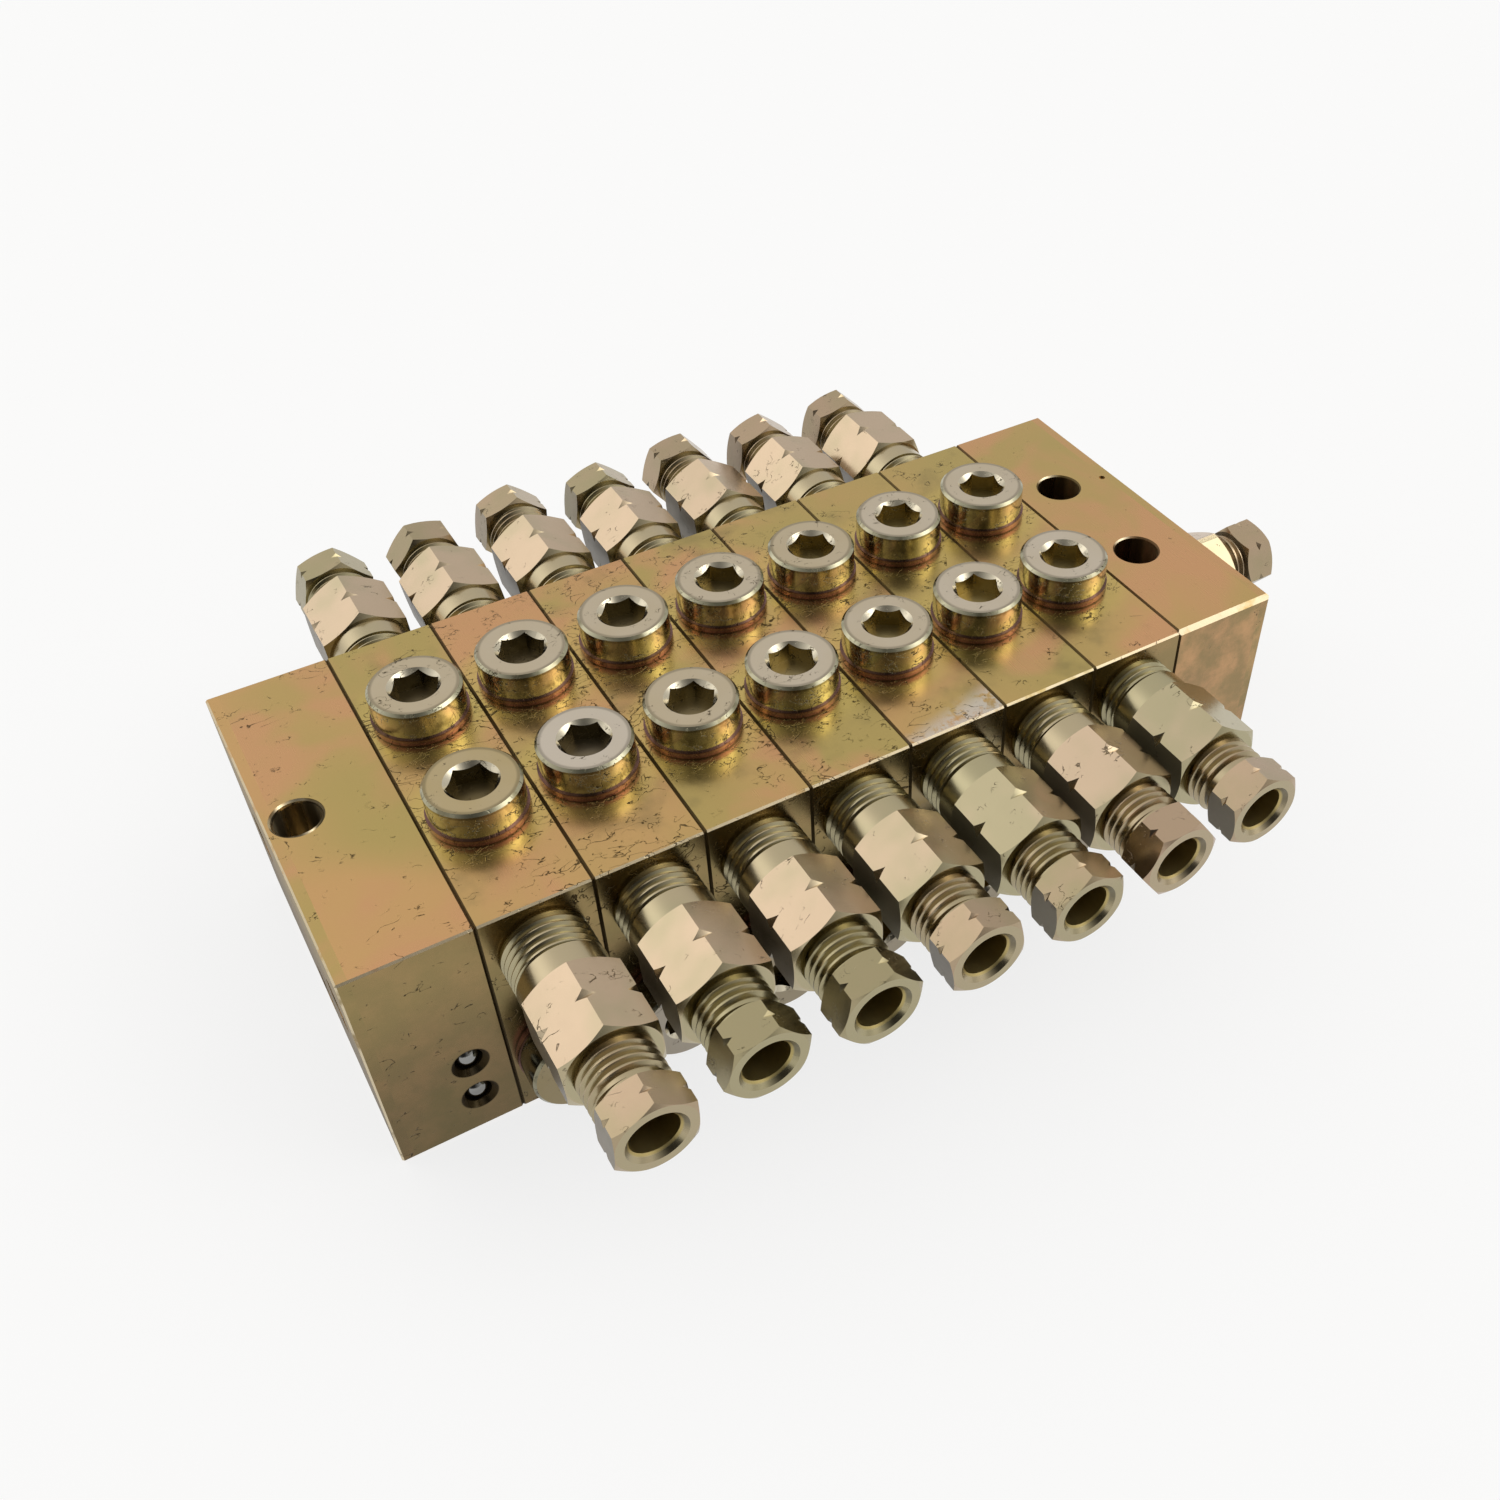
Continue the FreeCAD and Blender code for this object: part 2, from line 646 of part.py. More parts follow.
def union_body(name, stand_off, thread_length):
    """A straight union body, axis up, with the block's face on Z = 0."""
    body = new_body(name)
    shank = size["union_thread"] / 2 - size["thread_play"]
    root = size["union_thread_root"] / 2
    collar = size["union_collar"] / 2
    hex_low = stand_off
    hex_high = stand_off + size["union_hex_length"]
    collar_low = stand_off - size["union_collar_length"]
    turn_profile(body, [[
        (0.0, -thread_length),
        (root, -thread_length),
        (shank, shank - root - thread_length),
        (shank, 0.0),
        (root, 0.0),
        (root, collar_low),
        (collar, collar_low),
        (collar, hex_low),
        (0.0, hex_low),
    ]])
    hexagon_sketch = new_sketch(body, "XY_Plane", hex_low)
    draw_outlines(hexagon_sketch, [hexagon(size["union_hex_flats"])])
    pad(body, hexagon_sketch, size["union_hex_length"])
    turn_profile(body, hex_turning_cuts(size["union_hex_flats"], hex_low, hex_high,
                                        size["union_mark_depth"], size["union_mark_width"]), cut=True)
    thread_floor = hex_high - size["union_socket_depth"]
    cone = size["ring_cone_mouth"] / 2
    tube = size["tube_width"] / 2 + size["ring_play"]
    cone_floor = thread_floor - (cone - tube) / CONE_RISE
    stop = cone_floor - size["tube_stop_depth"]
    passage = size["passage"] / 2
    turn_profile(body, [[
        (0.0, -thread_length),
        (passage, -thread_length),
        (passage, stop),
        (tube, stop),
        (tube, cone_floor),
        (cone, thread_floor),
        (size["nut_thread"] / 2, thread_floor),
        (size["nut_thread"] / 2, hex_high),
        (0.0, hex_high),
    ]], cut=True)
    return body


def tube_nut(name, exposed):
    """A male tube nut, axis up, with the near side of its hexagon on Z = 0."""
    body = new_body(name)
    shank = size["nut_thread"] / 2 - size["thread_play"]
    root = size["nut_thread_root"] / 2
    tail = exposed + size["nut_engagement"]
    turn_profile(body, [[
        (0.0, -tail),
        (root, -tail),
        (shank, shank - root - tail),
        (shank, -exposed),
        (root, -exposed),
        (root, 0.0),
        (0.0, 0.0),
    ]])
    hexagon_sketch = new_sketch(body, "XY_Plane")
    draw_outlines(hexagon_sketch, [hexagon(size["nut_hex_flats"])])
    pad(body, hexagon_sketch, size["nut_hex_length"])
    high = size["nut_hex_length"]
    turn_profile(body, hex_turning_cuts(size["nut_hex_flats"], ZERO, high,
                                        size["nut_mark_depth"], size["nut_mark_width"]), cut=True)
    bore = size["tube_bore"] / 2
    mouth = size["tube_bore_mouth"] / 2
    cone = size["ring_cone_mouth"] / 2
    turn_profile(body, [[
        (0.0, -tail),
        (cone, -tail),
        (bore, cone - bore - tail),
        (bore, high - (mouth - bore)),
        (mouth, high),
        (0.0, high),
    ]], cut=True)
    return body


def cutting_ring(name):
    """A cutting ring, axis up, with its back on Z = 0 and its cutting edge below."""
    body = new_body(name)
    inner = size["tube_width"] / 2 + size["ring_play"]
    outer = size["ring_width"] / 2
    nose = size["tube_bore"] / 2
    length = size["ring_length"]
    back = size["ring_back_chamfer"]
    turn_profile(body, [[
        (inner, -length),
        (nose, -length),
        (outer, (outer - nose) / CONE_RISE - length),
        (outer, -back),
        (outer - back, 0.0),
        (inner, 0.0),
    ]])
    return body


def piston(index):
    """A spool piston, lying along the bore, with two grooves between its three lands."""
    body = new_body("piston_%d" % (index + 1))
    land = size["piston_bore"] / 2 - size["piston_play"]
    neck = size["piston_groove"] / 2
    half = piston_length / 2
    tip = size["piston_end_chamfer"]
    outer_edge = size["piston_groove_offset"] + size["piston_groove_width"] / 2
    inner_edge = size["piston_groove_offset"] - size["piston_groove_width"] / 2
    turn_profile(body, [[
        (0.0, -half),
        (land - tip, -half),
        (land, tip - half),
        (land, -outer_edge),
        (neck, -outer_edge),
        (neck, -inner_edge),
        (land, -inner_edge),
        (land, inner_edge),
        (neck, inner_edge),
        (neck, outer_edge),
        (land, outer_edge),
        (land, half - tip),
        (land - tip, half),
        (0.0, half),
    ]])
    middle = sections_left + size["section_length"] * index + middle_of_section
    return set_down(body, (middle, None, size["bore_height"]), OUT_TO_FRONT)


def passage_seal(name):
    """An O-ring, squeezed to the depth of its seat, axis up, standing on Z = 0."""
    body = new_body(name)
    outer = size["seal_seat"] / 2 - size["seal_play"]
    inner = size["seal_inner"] / 2
    thickness = size["seal_seat_depth"] - size["seal_play"]
    turn_profile(body, [[
        (inner, 0.0),
        (outer, 0.0),
        (outer, thickness),
        (inner, thickness),
    ]])
    return body


def tie_rod(name):
    """A tie rod, axis up, with its lower end on Z = 0."""
    body = new_body(name)
    radius = size["rod_thread"] / 2
    clamped = stack_length - 2 * nut_pocket_floor
    length = clamped + 2 * (size["rod_nut_height"] + size["rod_nut_projection"])
    turn_profile(body, [[
        (0.0, 0.0),
        (radius, 0.0),
        (radius, length),
        (0.0, length),
    ]])
    return body


def rod_nut(name):
    """A hexagon nut, axis up, standing on Z = 0."""
    body = new_body(name)
    outline = new_sketch(body, "XY_Plane")
    draw_outlines(outline, [hexagon(size["rod_nut_flats"])])
    pad(body, outline, size["rod_nut_height"])
    hole = size["rod_thread"] + 2 * size["thread_play"]
    drill(body, "XY_Plane", [(0.0, 0.0, hole)], size["rod_nut_height"], along_normal=True)
    return body


# Turns that point a piece's own Z axis out of the front, rear, right and left faces.

OUT_TO_FRONT = Rotation(Vector(1, 0, 0), 90)
OUT_TO_REAR = Rotation(Vector(0, 0, 1), 180) * OUT_TO_FRONT
OUT_TO_RIGHT = Rotation(Vector(0, 1, 0), Vector(0, 0, 1), Vector(1, 0, 0), "ZXY")
OUT_TO_LEFT = Rotation(Vector(0, -1, 0), Vector(0, 0, 1), Vector(-1, 0, 0), "ZXY")
UPRIGHT = Rotation()


def spin(degrees):
    """A turn about a piece's own axis."""
    return Rotation(Vector(0, 0, 1), degrees)


def outlets():
    """Every outlet as (name, middle of its section, side, settings)."""
    found = []
    for side, rows in (("front", FRONT_OUTLETS), ("rear", REAR_OUTLETS)):
        for index, row in enumerate(rows):
            middle = sections_left + size["section_length"] * index + middle_of_section
            found.append(("%s_%d" % (side, index + 1), middle, side, row))
    return found


def outlet_unions():
    """The union body and tube nut of each outlet, and where its cutting ring lies."""
    rings = []
    made = []
    for label, middle, side, (extra_stand_off, extra_thread, body_turn, nut_turn) in outlets():
        outward = -1 if side == "front" else 1
        out = OUT_TO_FRONT if side == "front" else OUT_TO_REAR
        stand_off = size["union_stand_off"] + extra_stand_off
        exposed = size["nut_exposed"] + extra_thread
        body = union_body("outlet_union_%s" % label, stand_off, size["union_thread_length"])
        face = half_width * outward
        set_down(body, (middle, face, size["outlet_height"]), out * spin(body_turn * -outward))
        nut = tube_nut("outlet_nut_%s" % label, exposed)
        hexagon_from_face = stand_off + size["union_hex_length"] + exposed
        seat = (half_width + hexagon_from_face) * outward
        set_down(nut, (middle, seat, size["outlet_height"]), out * spin(nut_turn * -outward))
        back = half_width + stand_off + size["union_hex_length"] + ring_back_from_union_end
        rings.append(((middle, back * outward, size["outlet_height"]), out))
        made += [body, nut]
    return made, rings


def inlet_union():
    """The inlet's union body and nut, and where its cutting ring lies."""
    stand_off = size["inlet_stand_off"]
    exposed = size["inlet_nut_exposed"]
    body = union_body("inlet_union", stand_off, size["inlet_thread_length"])
    set_down(body, (stack_right, None, size["inlet_height"]), OUT_TO_RIGHT * spin(INLET_TURN[0]))
    nut = tube_nut("inlet_nut", exposed)
    seat = stack_right + stand_off + size["union_hex_length"] + exposed
    set_down(nut, (seat, None, size["inlet_height"]), OUT_TO_RIGHT * spin(INLET_TURN[1]))
    back = stack_right + stand_off + size["union_hex_length"] + ring_back_from_union_end
    return [body, nut], [((back, 0.0, size["inlet_height"]), OUT_TO_RIGHT)]


def group(name, master, places):
    """Copies of one finished piece, as separate solids in one sub-part."""
    copies = []
    for place, rotation in places:
        spot = Vector(*[plain(coordinate) for coordinate in place])
        copy = master.Shape.copy()
        copy.Placement = Placement(spot, rotation)
        copies.append(copy)
    feature = doc.addObject("Part::Feature", name)
    feature.Label = name
    feature.Shape = Part.makeCompound(copies)
    return feature


def section_middles():
    """X of the middle of each working section."""
    return [
        sections_left + size["section_length"] * index + middle_of_section
        for index in range(SECTION_COUNT)
    ]


def top_plug_places(height):
    """Both rows of top plugs, at one height, each turned as it was left."""
    places = []
    for row, turns in ((-size["plug_row_offset"], FRONT_PLUG_TURNS), (size["plug_row_offset"], REAR_PLUG_TURNS)):
        for middle, turn in zip(section_middles(), turns):
            places.append(((middle, row, height), spin(turn)))
    return places


def bore_plug_places(distance):
    """The bore plugs of both faces, at one distance out of the face."""
    places = []
    for middle in section_middles():
        places.append(((middle, -half_width - distance, size["bore_height"]), OUT_TO_FRONT))
        places.append(((middle, half_width + distance, size["bore_height"]), OUT_TO_REAR))
    return places


def seal_places():
    """The O-rings, standing on the floors of their seats in the right-hand face of each block."""
    faces = [sections_left + size["section_length"] * index for index in range(SECTION_COUNT + 1)]
    floor = size["seal_seat_depth"]
    return [((face - floor, across, up), OUT_TO_RIGHT) for face in faces for across, up in JOINT_PASSAGES]


def rod_places():
    """The tie rods, from the left end's nuts to the right end's."""
    start = stack_left + nut_pocket_floor - size["rod_nut_height"] - size["rod_nut_projection"]
    return [((start, across, up), OUT_TO_RIGHT) for across, up in TIE_RODS]


def rod_nut_places():
    """The tie rod nuts on the floors of their pockets at both ends."""
    left = stack_left + nut_pocket_floor
    right = stack_right - nut_pocket_floor
    places = [((left, across, up), OUT_TO_LEFT) for across, up in TIE_RODS]
    return places + [((right, across, up), OUT_TO_RIGHT) for across, up in TIE_RODS]


def ball_places():
    """The sealing balls of the end block's cross drillings."""
    depth = size["ball_sink"] + size["ball"] / 2
    across = stack_left + size["ball_inset"]
    places = []
    for height in (size["feed_height"], size["return_height"]):
        places.append(((across, depth - half_width, height), UPRIGHT))
        places.append(((across, half_width - depth, height), UPRIGHT))
    return places


def sealing_ball(name):
    """A steel ball."""
    ball = doc.addObject("Part::Sphere", name)
    bind(ball, "Radius", size["ball"] / 2)
    return ball


def build():
    """Make every sub-part and return the ones to write."""
    made = [end_block()]
    made += [working_section(index) for index in range(SECTION_COUNT)]
    made.append(inlet_block())
    made += [piston(index) for index in range(SECTION_COUNT)]
    outlet_parts, rings = outlet_unions()
    inlet_parts, inlet_ring = inlet_union()
    made += outlet_parts + inlet_parts

    top_thread = size["top_plug_thread"]
    bore_thread = size["bore_plug_thread"]
    top_plug = screw_plug("top_plug_pattern", top_thread, size["top_plug_head"], size["top_plug_head_height"])
    top_washer = sealing_washer("top_washer_pattern", top_thread, size["top_washer_width"])
    bore_plug = screw_plug("bore_plug_pattern", bore_thread, size["bore_plug_head"],
                           size["bore_plug_head_height"])
    bore_washer = sealing_washer("bore_washer_pattern", bore_thread, size["bore_washer_width"])
    ring = cutting_ring("ring_pattern")
    seal = passage_seal("seal_pattern")
    rod = tie_rod("rod_pattern")
    nut = rod_nut("rod_nut_pattern")
    ball = sealing_ball("ball_pattern")
    doc.recompute()

    thickness = size["washer_thickness"]
    height = size["block_height"]
    made.append(group("top_plugs", top_plug, top_plug_places(height + thickness)))
    made.append(group("top_plug_washers", top_washer, top_plug_places(height)))
    made.append(group("bore_plugs", bore_plug, bore_plug_places(thickness)))
    made.append(group("bore_plug_washers", bore_washer, bore_plug_places(ZERO)))
    made.append(group("cutting_rings", ring, rings + inlet_ring))
    made.append(group("passage_seals", seal, seal_places()))
    made.append(group("tie_rods", rod, rod_places()))
    made.append(group("tie_rod_nuts", nut, rod_nut_places()))
    made.append(group("sealing_balls", ball, ball_places()))
    doc.recompute()
    return made


def check(made):
    """Stop if any object failed or any sub-part has no sound shape."""
    for item in doc.Objects:
        if "Invalid" in item.State or "Error" in item.State:
            raise RuntimeError("%s: %s" % (item.Label, item.State))
    for item in made:
        if item.Shape.isNull() or not item.Shape.isValid():
            raise RuntimeError("%s has no sound shape" % item.Label)


def write(made):
    """One STEP file for each sub-part."""
    os.makedirs("parts", exist_ok=True)
    for item in made:
        item.Shape.exportStep("parts/%s.step" % item.Label)
        solids = len(item.Shape.Solids)
        print("%-24s %3d solids %10.1f mm3" % (item.Label, solids, item.Shape.Volume))


parts = build()
check(parts)
write(parts)
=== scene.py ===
import math

import bmesh
import bpy
from bpy.props import FloatProperty, FloatVectorProperty, IntProperty, PointerProperty
from bpy.types import Operator, Panel, PropertyGroup
from mathutils import Matrix, Vector


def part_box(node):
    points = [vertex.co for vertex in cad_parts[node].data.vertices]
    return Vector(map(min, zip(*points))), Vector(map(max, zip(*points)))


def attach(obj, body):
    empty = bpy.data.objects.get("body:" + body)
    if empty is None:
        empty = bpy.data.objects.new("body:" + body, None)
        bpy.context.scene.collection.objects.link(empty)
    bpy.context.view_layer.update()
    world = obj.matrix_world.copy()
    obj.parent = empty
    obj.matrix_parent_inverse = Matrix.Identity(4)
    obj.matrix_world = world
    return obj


bl_info = {
    "name": "Lubricant divider block",
    "version": (1, 0, 0),
    "blender": (4, 5, 0),
    "location": "3D View > Sidebar > Divider",
    "description": "Finishes, screw threads and studio for a sectional lubricant divider block",
    "category": "Object",
}

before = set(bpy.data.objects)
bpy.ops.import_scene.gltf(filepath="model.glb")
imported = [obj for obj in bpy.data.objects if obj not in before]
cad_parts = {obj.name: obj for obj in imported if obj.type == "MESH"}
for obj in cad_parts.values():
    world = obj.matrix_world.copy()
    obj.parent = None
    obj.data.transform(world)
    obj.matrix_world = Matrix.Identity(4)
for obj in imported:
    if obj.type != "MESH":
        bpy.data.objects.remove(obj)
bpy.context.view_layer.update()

BLOCK_BODY = "divider_block"
SECTION_COUNT = 7
SECTIONS_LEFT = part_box("section_1")[0].x
SECTION_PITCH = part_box("section_2")[0].x - SECTIONS_LEFT
SECTIONS_RIGHT = SECTIONS_LEFT + SECTION_COUNT * SECTION_PITCH
OUTLET_HEIGHT = sum(corner.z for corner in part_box("outlet_nut_front_1")) / 2
BLOCK_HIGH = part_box("inlet_block")[1]
STACK_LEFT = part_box("end_block")[0].x
STACK_RIGHT = BLOCK_HIGH.x
TOP = BLOCK_HIGH.z
HALF_WIDTH = BLOCK_HIGH.y

# How the plating differs from piece to piece, from the end block to the inlet block.
BLOCK_GREEN = (0.24, 0.36, 0.30, 0.45, 0.60, 0.26, 0.50, 0.26, 0.34)
UNION_GREEN = (0.00, 0.00, 0.02, 0.32, 0.45, 0.08, 0.55)
REAR_UNION_GREEN = 0.04
NUT_WARMTH = (0.60, 0.10, 0.15, 0.60, 0.45, 0.85, 0.60)
REAR_NUT_WARMTH = (0.20, 0.50, 0.55, 0.35, 0.60, 0.75, 0.65)
PLUG_SILVER = (0.05, 0.95, 0.45, 0.70, 0.60, 0.75, 0.80)
REAR_PLUG_SILVER = (0.45, 0.55, 0.55, 0.60, 0.40, 0.70, 0.65)

# Where the studio's light comes from, or is held back, and how narrow each of these glows is.
WINDOW_WAY, WINDOW_NARROWNESS = (-0.55, 0.68, 0.48), 14.0
SIDE_WAY, SIDE_NARROWNESS = (0.61, -0.37, 0.70), 22.0
VIEWER_WAY, VIEWER_NARROWNESS = (-0.40, -0.75, 0.50), 3.0
DARKEST_SKY = 0.04
SKY_COLOUR = (1.0, 0.985, 0.955)

FLOOR_HALF = 3.0
FLOOR_LEVEL = -0.0002

# The camera's place, its two axes in the picture and the shift of the picture on its sensor.
CAMERA_PLACE = (-0.09954, -0.20605, 0.23492)
CAMERA_RIGHT = Vector((0.85738331, -0.51464249, -0.00607932))
CAMERA_UP = Vector((0.36521671, 0.6000356, 0.71174015))
CAMERA_SHIFT = (-0.07227, 0.02788)


class FittingSizes(PropertyGroup):
    """Sizes of the threads that are wound onto the plain shanks, and of the forms that finishes follow."""

    pitch: FloatProperty(
        name="Thread pitch", description="Rise of one turn of the union and nut threads",
        default=0.0015, unit="LENGTH")
    steps: IntProperty(
        name="Steps per turn", description="Straight steps in one turn of a thread", default=48)
    union_hexagon: FloatProperty(
        name="Union hexagon", description="Length of a union body's hexagon", default=0.0157, unit="LENGTH")
    union_collar: FloatProperty(
        name="Union collar", description="Length of the smooth collar beside the hexagon",
        default=0.0045, unit="LENGTH")
    union_root: FloatProperty(
        name="Union thread root", description="Radius of the union's shank between the ridges",
        default=0.0073, unit="LENGTH")
    union_crest: FloatProperty(
        name="Union thread crest", description="Radius of the union's thread at its ridges",
        default=0.008, unit="LENGTH")
    nut_hexagon: FloatProperty(
        name="Nut hexagon", description="Length of a tube nut's hexagon", default=0.0072, unit="LENGTH")
    nut_root: FloatProperty(
        name="Nut thread root", description="Radius of the nut's shank between the ridges",
        default=0.0062, unit="LENGTH")
    nut_crest: FloatProperty(
        name="Nut thread crest", description="Radius of the nut's thread at its ridges",
        default=0.007, unit="LENGTH")
    nut_run_out: FloatProperty(
        name="Nut run-out", description="Plain neck between the nut's thread and its hexagon",
        default=0.0009, unit="LENGTH")
    nut_bore: FloatProperty(
        name="Nut bore", description="Radius of the nut's bore", default=0.0043, unit="LENGTH")
    plug_row: FloatProperty(
        name="Plug row", description="Top plug axes from the stack's middle plane",
        default=0.0144, unit="LENGTH")
    plug_width: FloatProperty(
        name="Plug width", description="Diameter of a top plug's head", default=0.0172, unit="LENGTH")
    plug_rim: FloatProperty(
        name="Plug rim", description="Width of the darker ring at a top plug's outer edge",
        default=0.0013, unit="LENGTH")
    plug_shoulder: FloatProperty(
        name="Plug shoulder", description="Height of that ring above the block",
        default=0.006, unit="LENGTH")
    # The halo is a painted yellow reflection round a top plug.
    plug_halo: FloatProperty(
        name="Plug halo", description="Radius of the yellower plating round a top plug",
        default=0.0105, unit="LENGTH")
    halo_fade: FloatProperty(
        name="Halo fade", description="Radius at which that plating has faded out",
        default=0.015, unit="LENGTH")
    socket_width: FloatProperty(
        name="Socket width", description="Across corners of the plugs' hex sockets",
        default=0.0093, unit="LENGTH")
    socket_mouth: FloatProperty(
        name="Socket mouth", description="Diameter of the sockets' countersink",
        default=0.0098, unit="LENGTH")
    bore_height: FloatProperty(
        name="Bore height", description="Height of the bore plugs' axes", default=0.0139, unit="LENGTH")
    ball_inset: FloatProperty(
        name="Ball inset", description="Sealing balls from the end block's outer face",
        default=0.016, unit="LENGTH")
    ball_heights: FloatVectorProperty(
        name="Ball heights", description="Heights of the two sealing balls", size=2,
        default=(0.0181, 0.0088), unit="LENGTH")
    ball_recess: FloatProperty(
        name="Ball recess", description="Radius of the recess round a sealing ball",
        default=0.0034, unit="LENGTH")
    port_inset: FloatProperty(
        name="Port inset", description="Threaded hole from the end block's outer face",
        default=0.0057, unit="LENGTH")
    port_radius: FloatProperty(
        name="Port radius", description="Wall of the threaded hole in the end block's top",
        default=0.00446, unit="LENGTH")
    port_pitch: FloatProperty(
        name="Port pitch", description="Rise of one turn of the port's thread",
        default=0.001, unit="LENGTH")
    port_lead: FloatProperty(
        name="Port lead", description="Depth of the port's mouth above its thread",
        default=0.0006, unit="LENGTH")
    port_depth: FloatProperty(
        name="Port depth", description="Length of the thread in the end block's hole",
        default=0.0105, unit="LENGTH")
    port_ridge: FloatProperty(
        name="Port ridge", description="Height of the port's thread ridges", default=0.0003, unit="LENGTH")


class PlateColours(PropertyGroup):
    """Colours of the yellow chromated plating, the copper and the bare steel, and of the painted light and
    shade on them.
    """

    gold: FloatVectorProperty(
        name="Gold", description="Main colour of the plated blocks", subtype="COLOR",
        default=(0.58, 0.355, 0.152))
    olive: FloatVectorProperty(
        name="Olive", description="Greenish patches of the plating", subtype="COLOR",
        default=(0.45, 0.345, 0.125))
    rose: FloatVectorProperty(
        name="Rose", description="Pinkish patches of the plating", subtype="COLOR",
        default=(0.60, 0.325, 0.165))
    # Painted yellow light: the reflection round the top plugs, the glint in the nuts' bores and the light
    # in the plugs' sockets.
    painted_yellow_light: FloatVectorProperty(
        name="Lemon", description="Yellower plating round the screw plugs", subtype="COLOR",
        default=(0.56, 0.43, 0.135))
    # Painted shade on the blocks' upright faces; also the colour of the real brown clouds on the sections'
    # tops and of the dark blotches on the plugs' sides.
    shade: FloatVectorProperty(
        name="Shade", description="Darker plating on the blocks' upright faces", subtype="COLOR",
        default=(0.185, 0.148, 0.070))
    # Bright chamfers, partly worn plating and partly a painted highlight, and painted light on the wall of
    # the threaded port.
    edge: FloatVectorProperty(
        name="Edge", description="Bright worn edges", subtype="COLOR", default=(0.66, 0.56, 0.38))
    # Dark colour of the real scratches, cracks and joints, also used for painted shade: low on the blocks'
    # upright faces, in the ball recesses, in the plugs' sockets and in the washers' creases.
    mark: FloatVectorProperty(
        name="Mark", description="Dark scratches and fine cracks", subtype="COLOR",
        default=(0.050, 0.034, 0.015))
    cream: FloatVectorProperty(
        name="Cream", description="Main colour of the union bodies", subtype="COLOR",
        default=(0.56, 0.430, 0.300))
    tint: FloatVectorProperty(
        name="Tint", description="Yellow-green tint on unions and nuts", subtype="COLOR",
        default=(0.41, 0.370, 0.225))
    # Painted shade on the fittings' sideways faces and undersides, on the bore plugs and on the top plugs'
    # outer rims.
    painted_fitting_shade: FloatVectorProperty(
        name="Underside", description="Dull plating on the sides and undersides of the fittings",
        subtype="COLOR", default=(0.055, 0.048, 0.024))
    champagne: FloatVectorProperty(
        name="Champagne", description="Cool colour of the tube nuts", subtype="COLOR",
        default=(0.36, 0.31, 0.18))
    # Warm colour of the tube nuts, also the painted highlight along the washers' lips.
    blush: FloatVectorProperty(
        name="Blush", description="Warm colour of the tube nuts", subtype="COLOR",
        default=(0.45, 0.33, 0.225))
    silver: FloatVectorProperty(
        name="Silver", description="Faces of the screw plugs", subtype="COLOR", default=(0.58, 0.515, 0.43))
    plug_gold: FloatVectorProperty(
        name="Plug gold", description="Faces of the yellower screw plugs", subtype="COLOR",
        default=(0.46, 0.365, 0.200))
    rim: FloatVectorProperty(
        name="Rim", description="Bright countersinks of the plugs' sockets", subtype="COLOR",
        default=(0.60, 0.545, 0.42))
    brass: FloatVectorProperty(
        name="Brass", description="Sides of the screw plugs", subtype="COLOR", default=(0.72, 0.69, 0.50))
    copper: FloatVectorProperty(
        name="Copper", description="Sealing washers", subtype="COLOR", default=(0.37, 0.185, 0.195))
    steel: FloatVectorProperty(
        name="Steel", description="Pistons and tie rods", subtype="COLOR",
        default=(0.62, 0.61, 0.58))
    scuff: FloatVectorProperty(
        name="Scuff", description="Pale scuffed patch at the front edge of the fifth section",
        subtype="COLOR", default=(0.62, 0.60, 0.56))
    ball: FloatVectorProperty(
        name="Ball", description="Sealing balls", subtype="COLOR", default=(0.27, 0.27, 0.26))
    rubber: FloatVectorProperty(
        name="Rubber", description="Seals at the joints", subtype="COLOR", default=(0.018, 0.018, 0.018))


class StudioSettings(PropertyGroup):
    """The plain studio round the block."""

    floor_colour: FloatVectorProperty(
        name="Floor", description="Colour of the floor", subtype="COLOR", default=(0.88, 0.88, 0.87))
    floor_glow: FloatProperty(
        name="Floor glow", description="How far the floor is whitened where it is seen", default=0.8)
    horizon: FloatProperty(
        name="Horizon", description="Light from low down", default=0.70)
    zenith: FloatProperty(
        name="Zenith", description="Light from overhead", default=0.90)
    window: FloatProperty(
        name="Window", description="Extra light from the broad window behind on the left", default=0.80)
    side: FloatProperty(
        name="Side", description="Extra light from the viewer's right", default=3.0)
    viewer: FloatProperty(
        name="Viewer", description="Light held back by whoever stands in front", default=0.85)
    lens: FloatProperty(
        name="Lens", description="Focal length of the camera in millimetres", default=36.684)


class Value:
    """A shader socket that takes part in ordinary sums."""

    def __init__(self, graph, socket):
        self.graph = graph
        self.socket = socket

    def __add__(self, other):
        return self.graph.math("ADD", self, other)

    def __radd__(self, other):
        return self.graph.math("ADD", other, self)

    def __sub__(self, other):
        return self.graph.math("SUBTRACT", self, other)

    def __rsub__(self, other):
        return self.graph.math("SUBTRACT", other, self)

    def __mul__(self, other):
        return self.graph.math("MULTIPLY", self, other)

    def __rmul__(self, other):
        return self.graph.math("MULTIPLY", other, self)

    def __truediv__(self, other):
        return self.graph.math("DIVIDE", self, other)

    def __neg__(self):
        return self.graph.math("MULTIPLY", self, -1.0)

    def __abs__(self):
        return self.graph.math("ABSOLUTE", self)

    def __pow__(self, other):
        return self.graph.math("POWER", self, other)


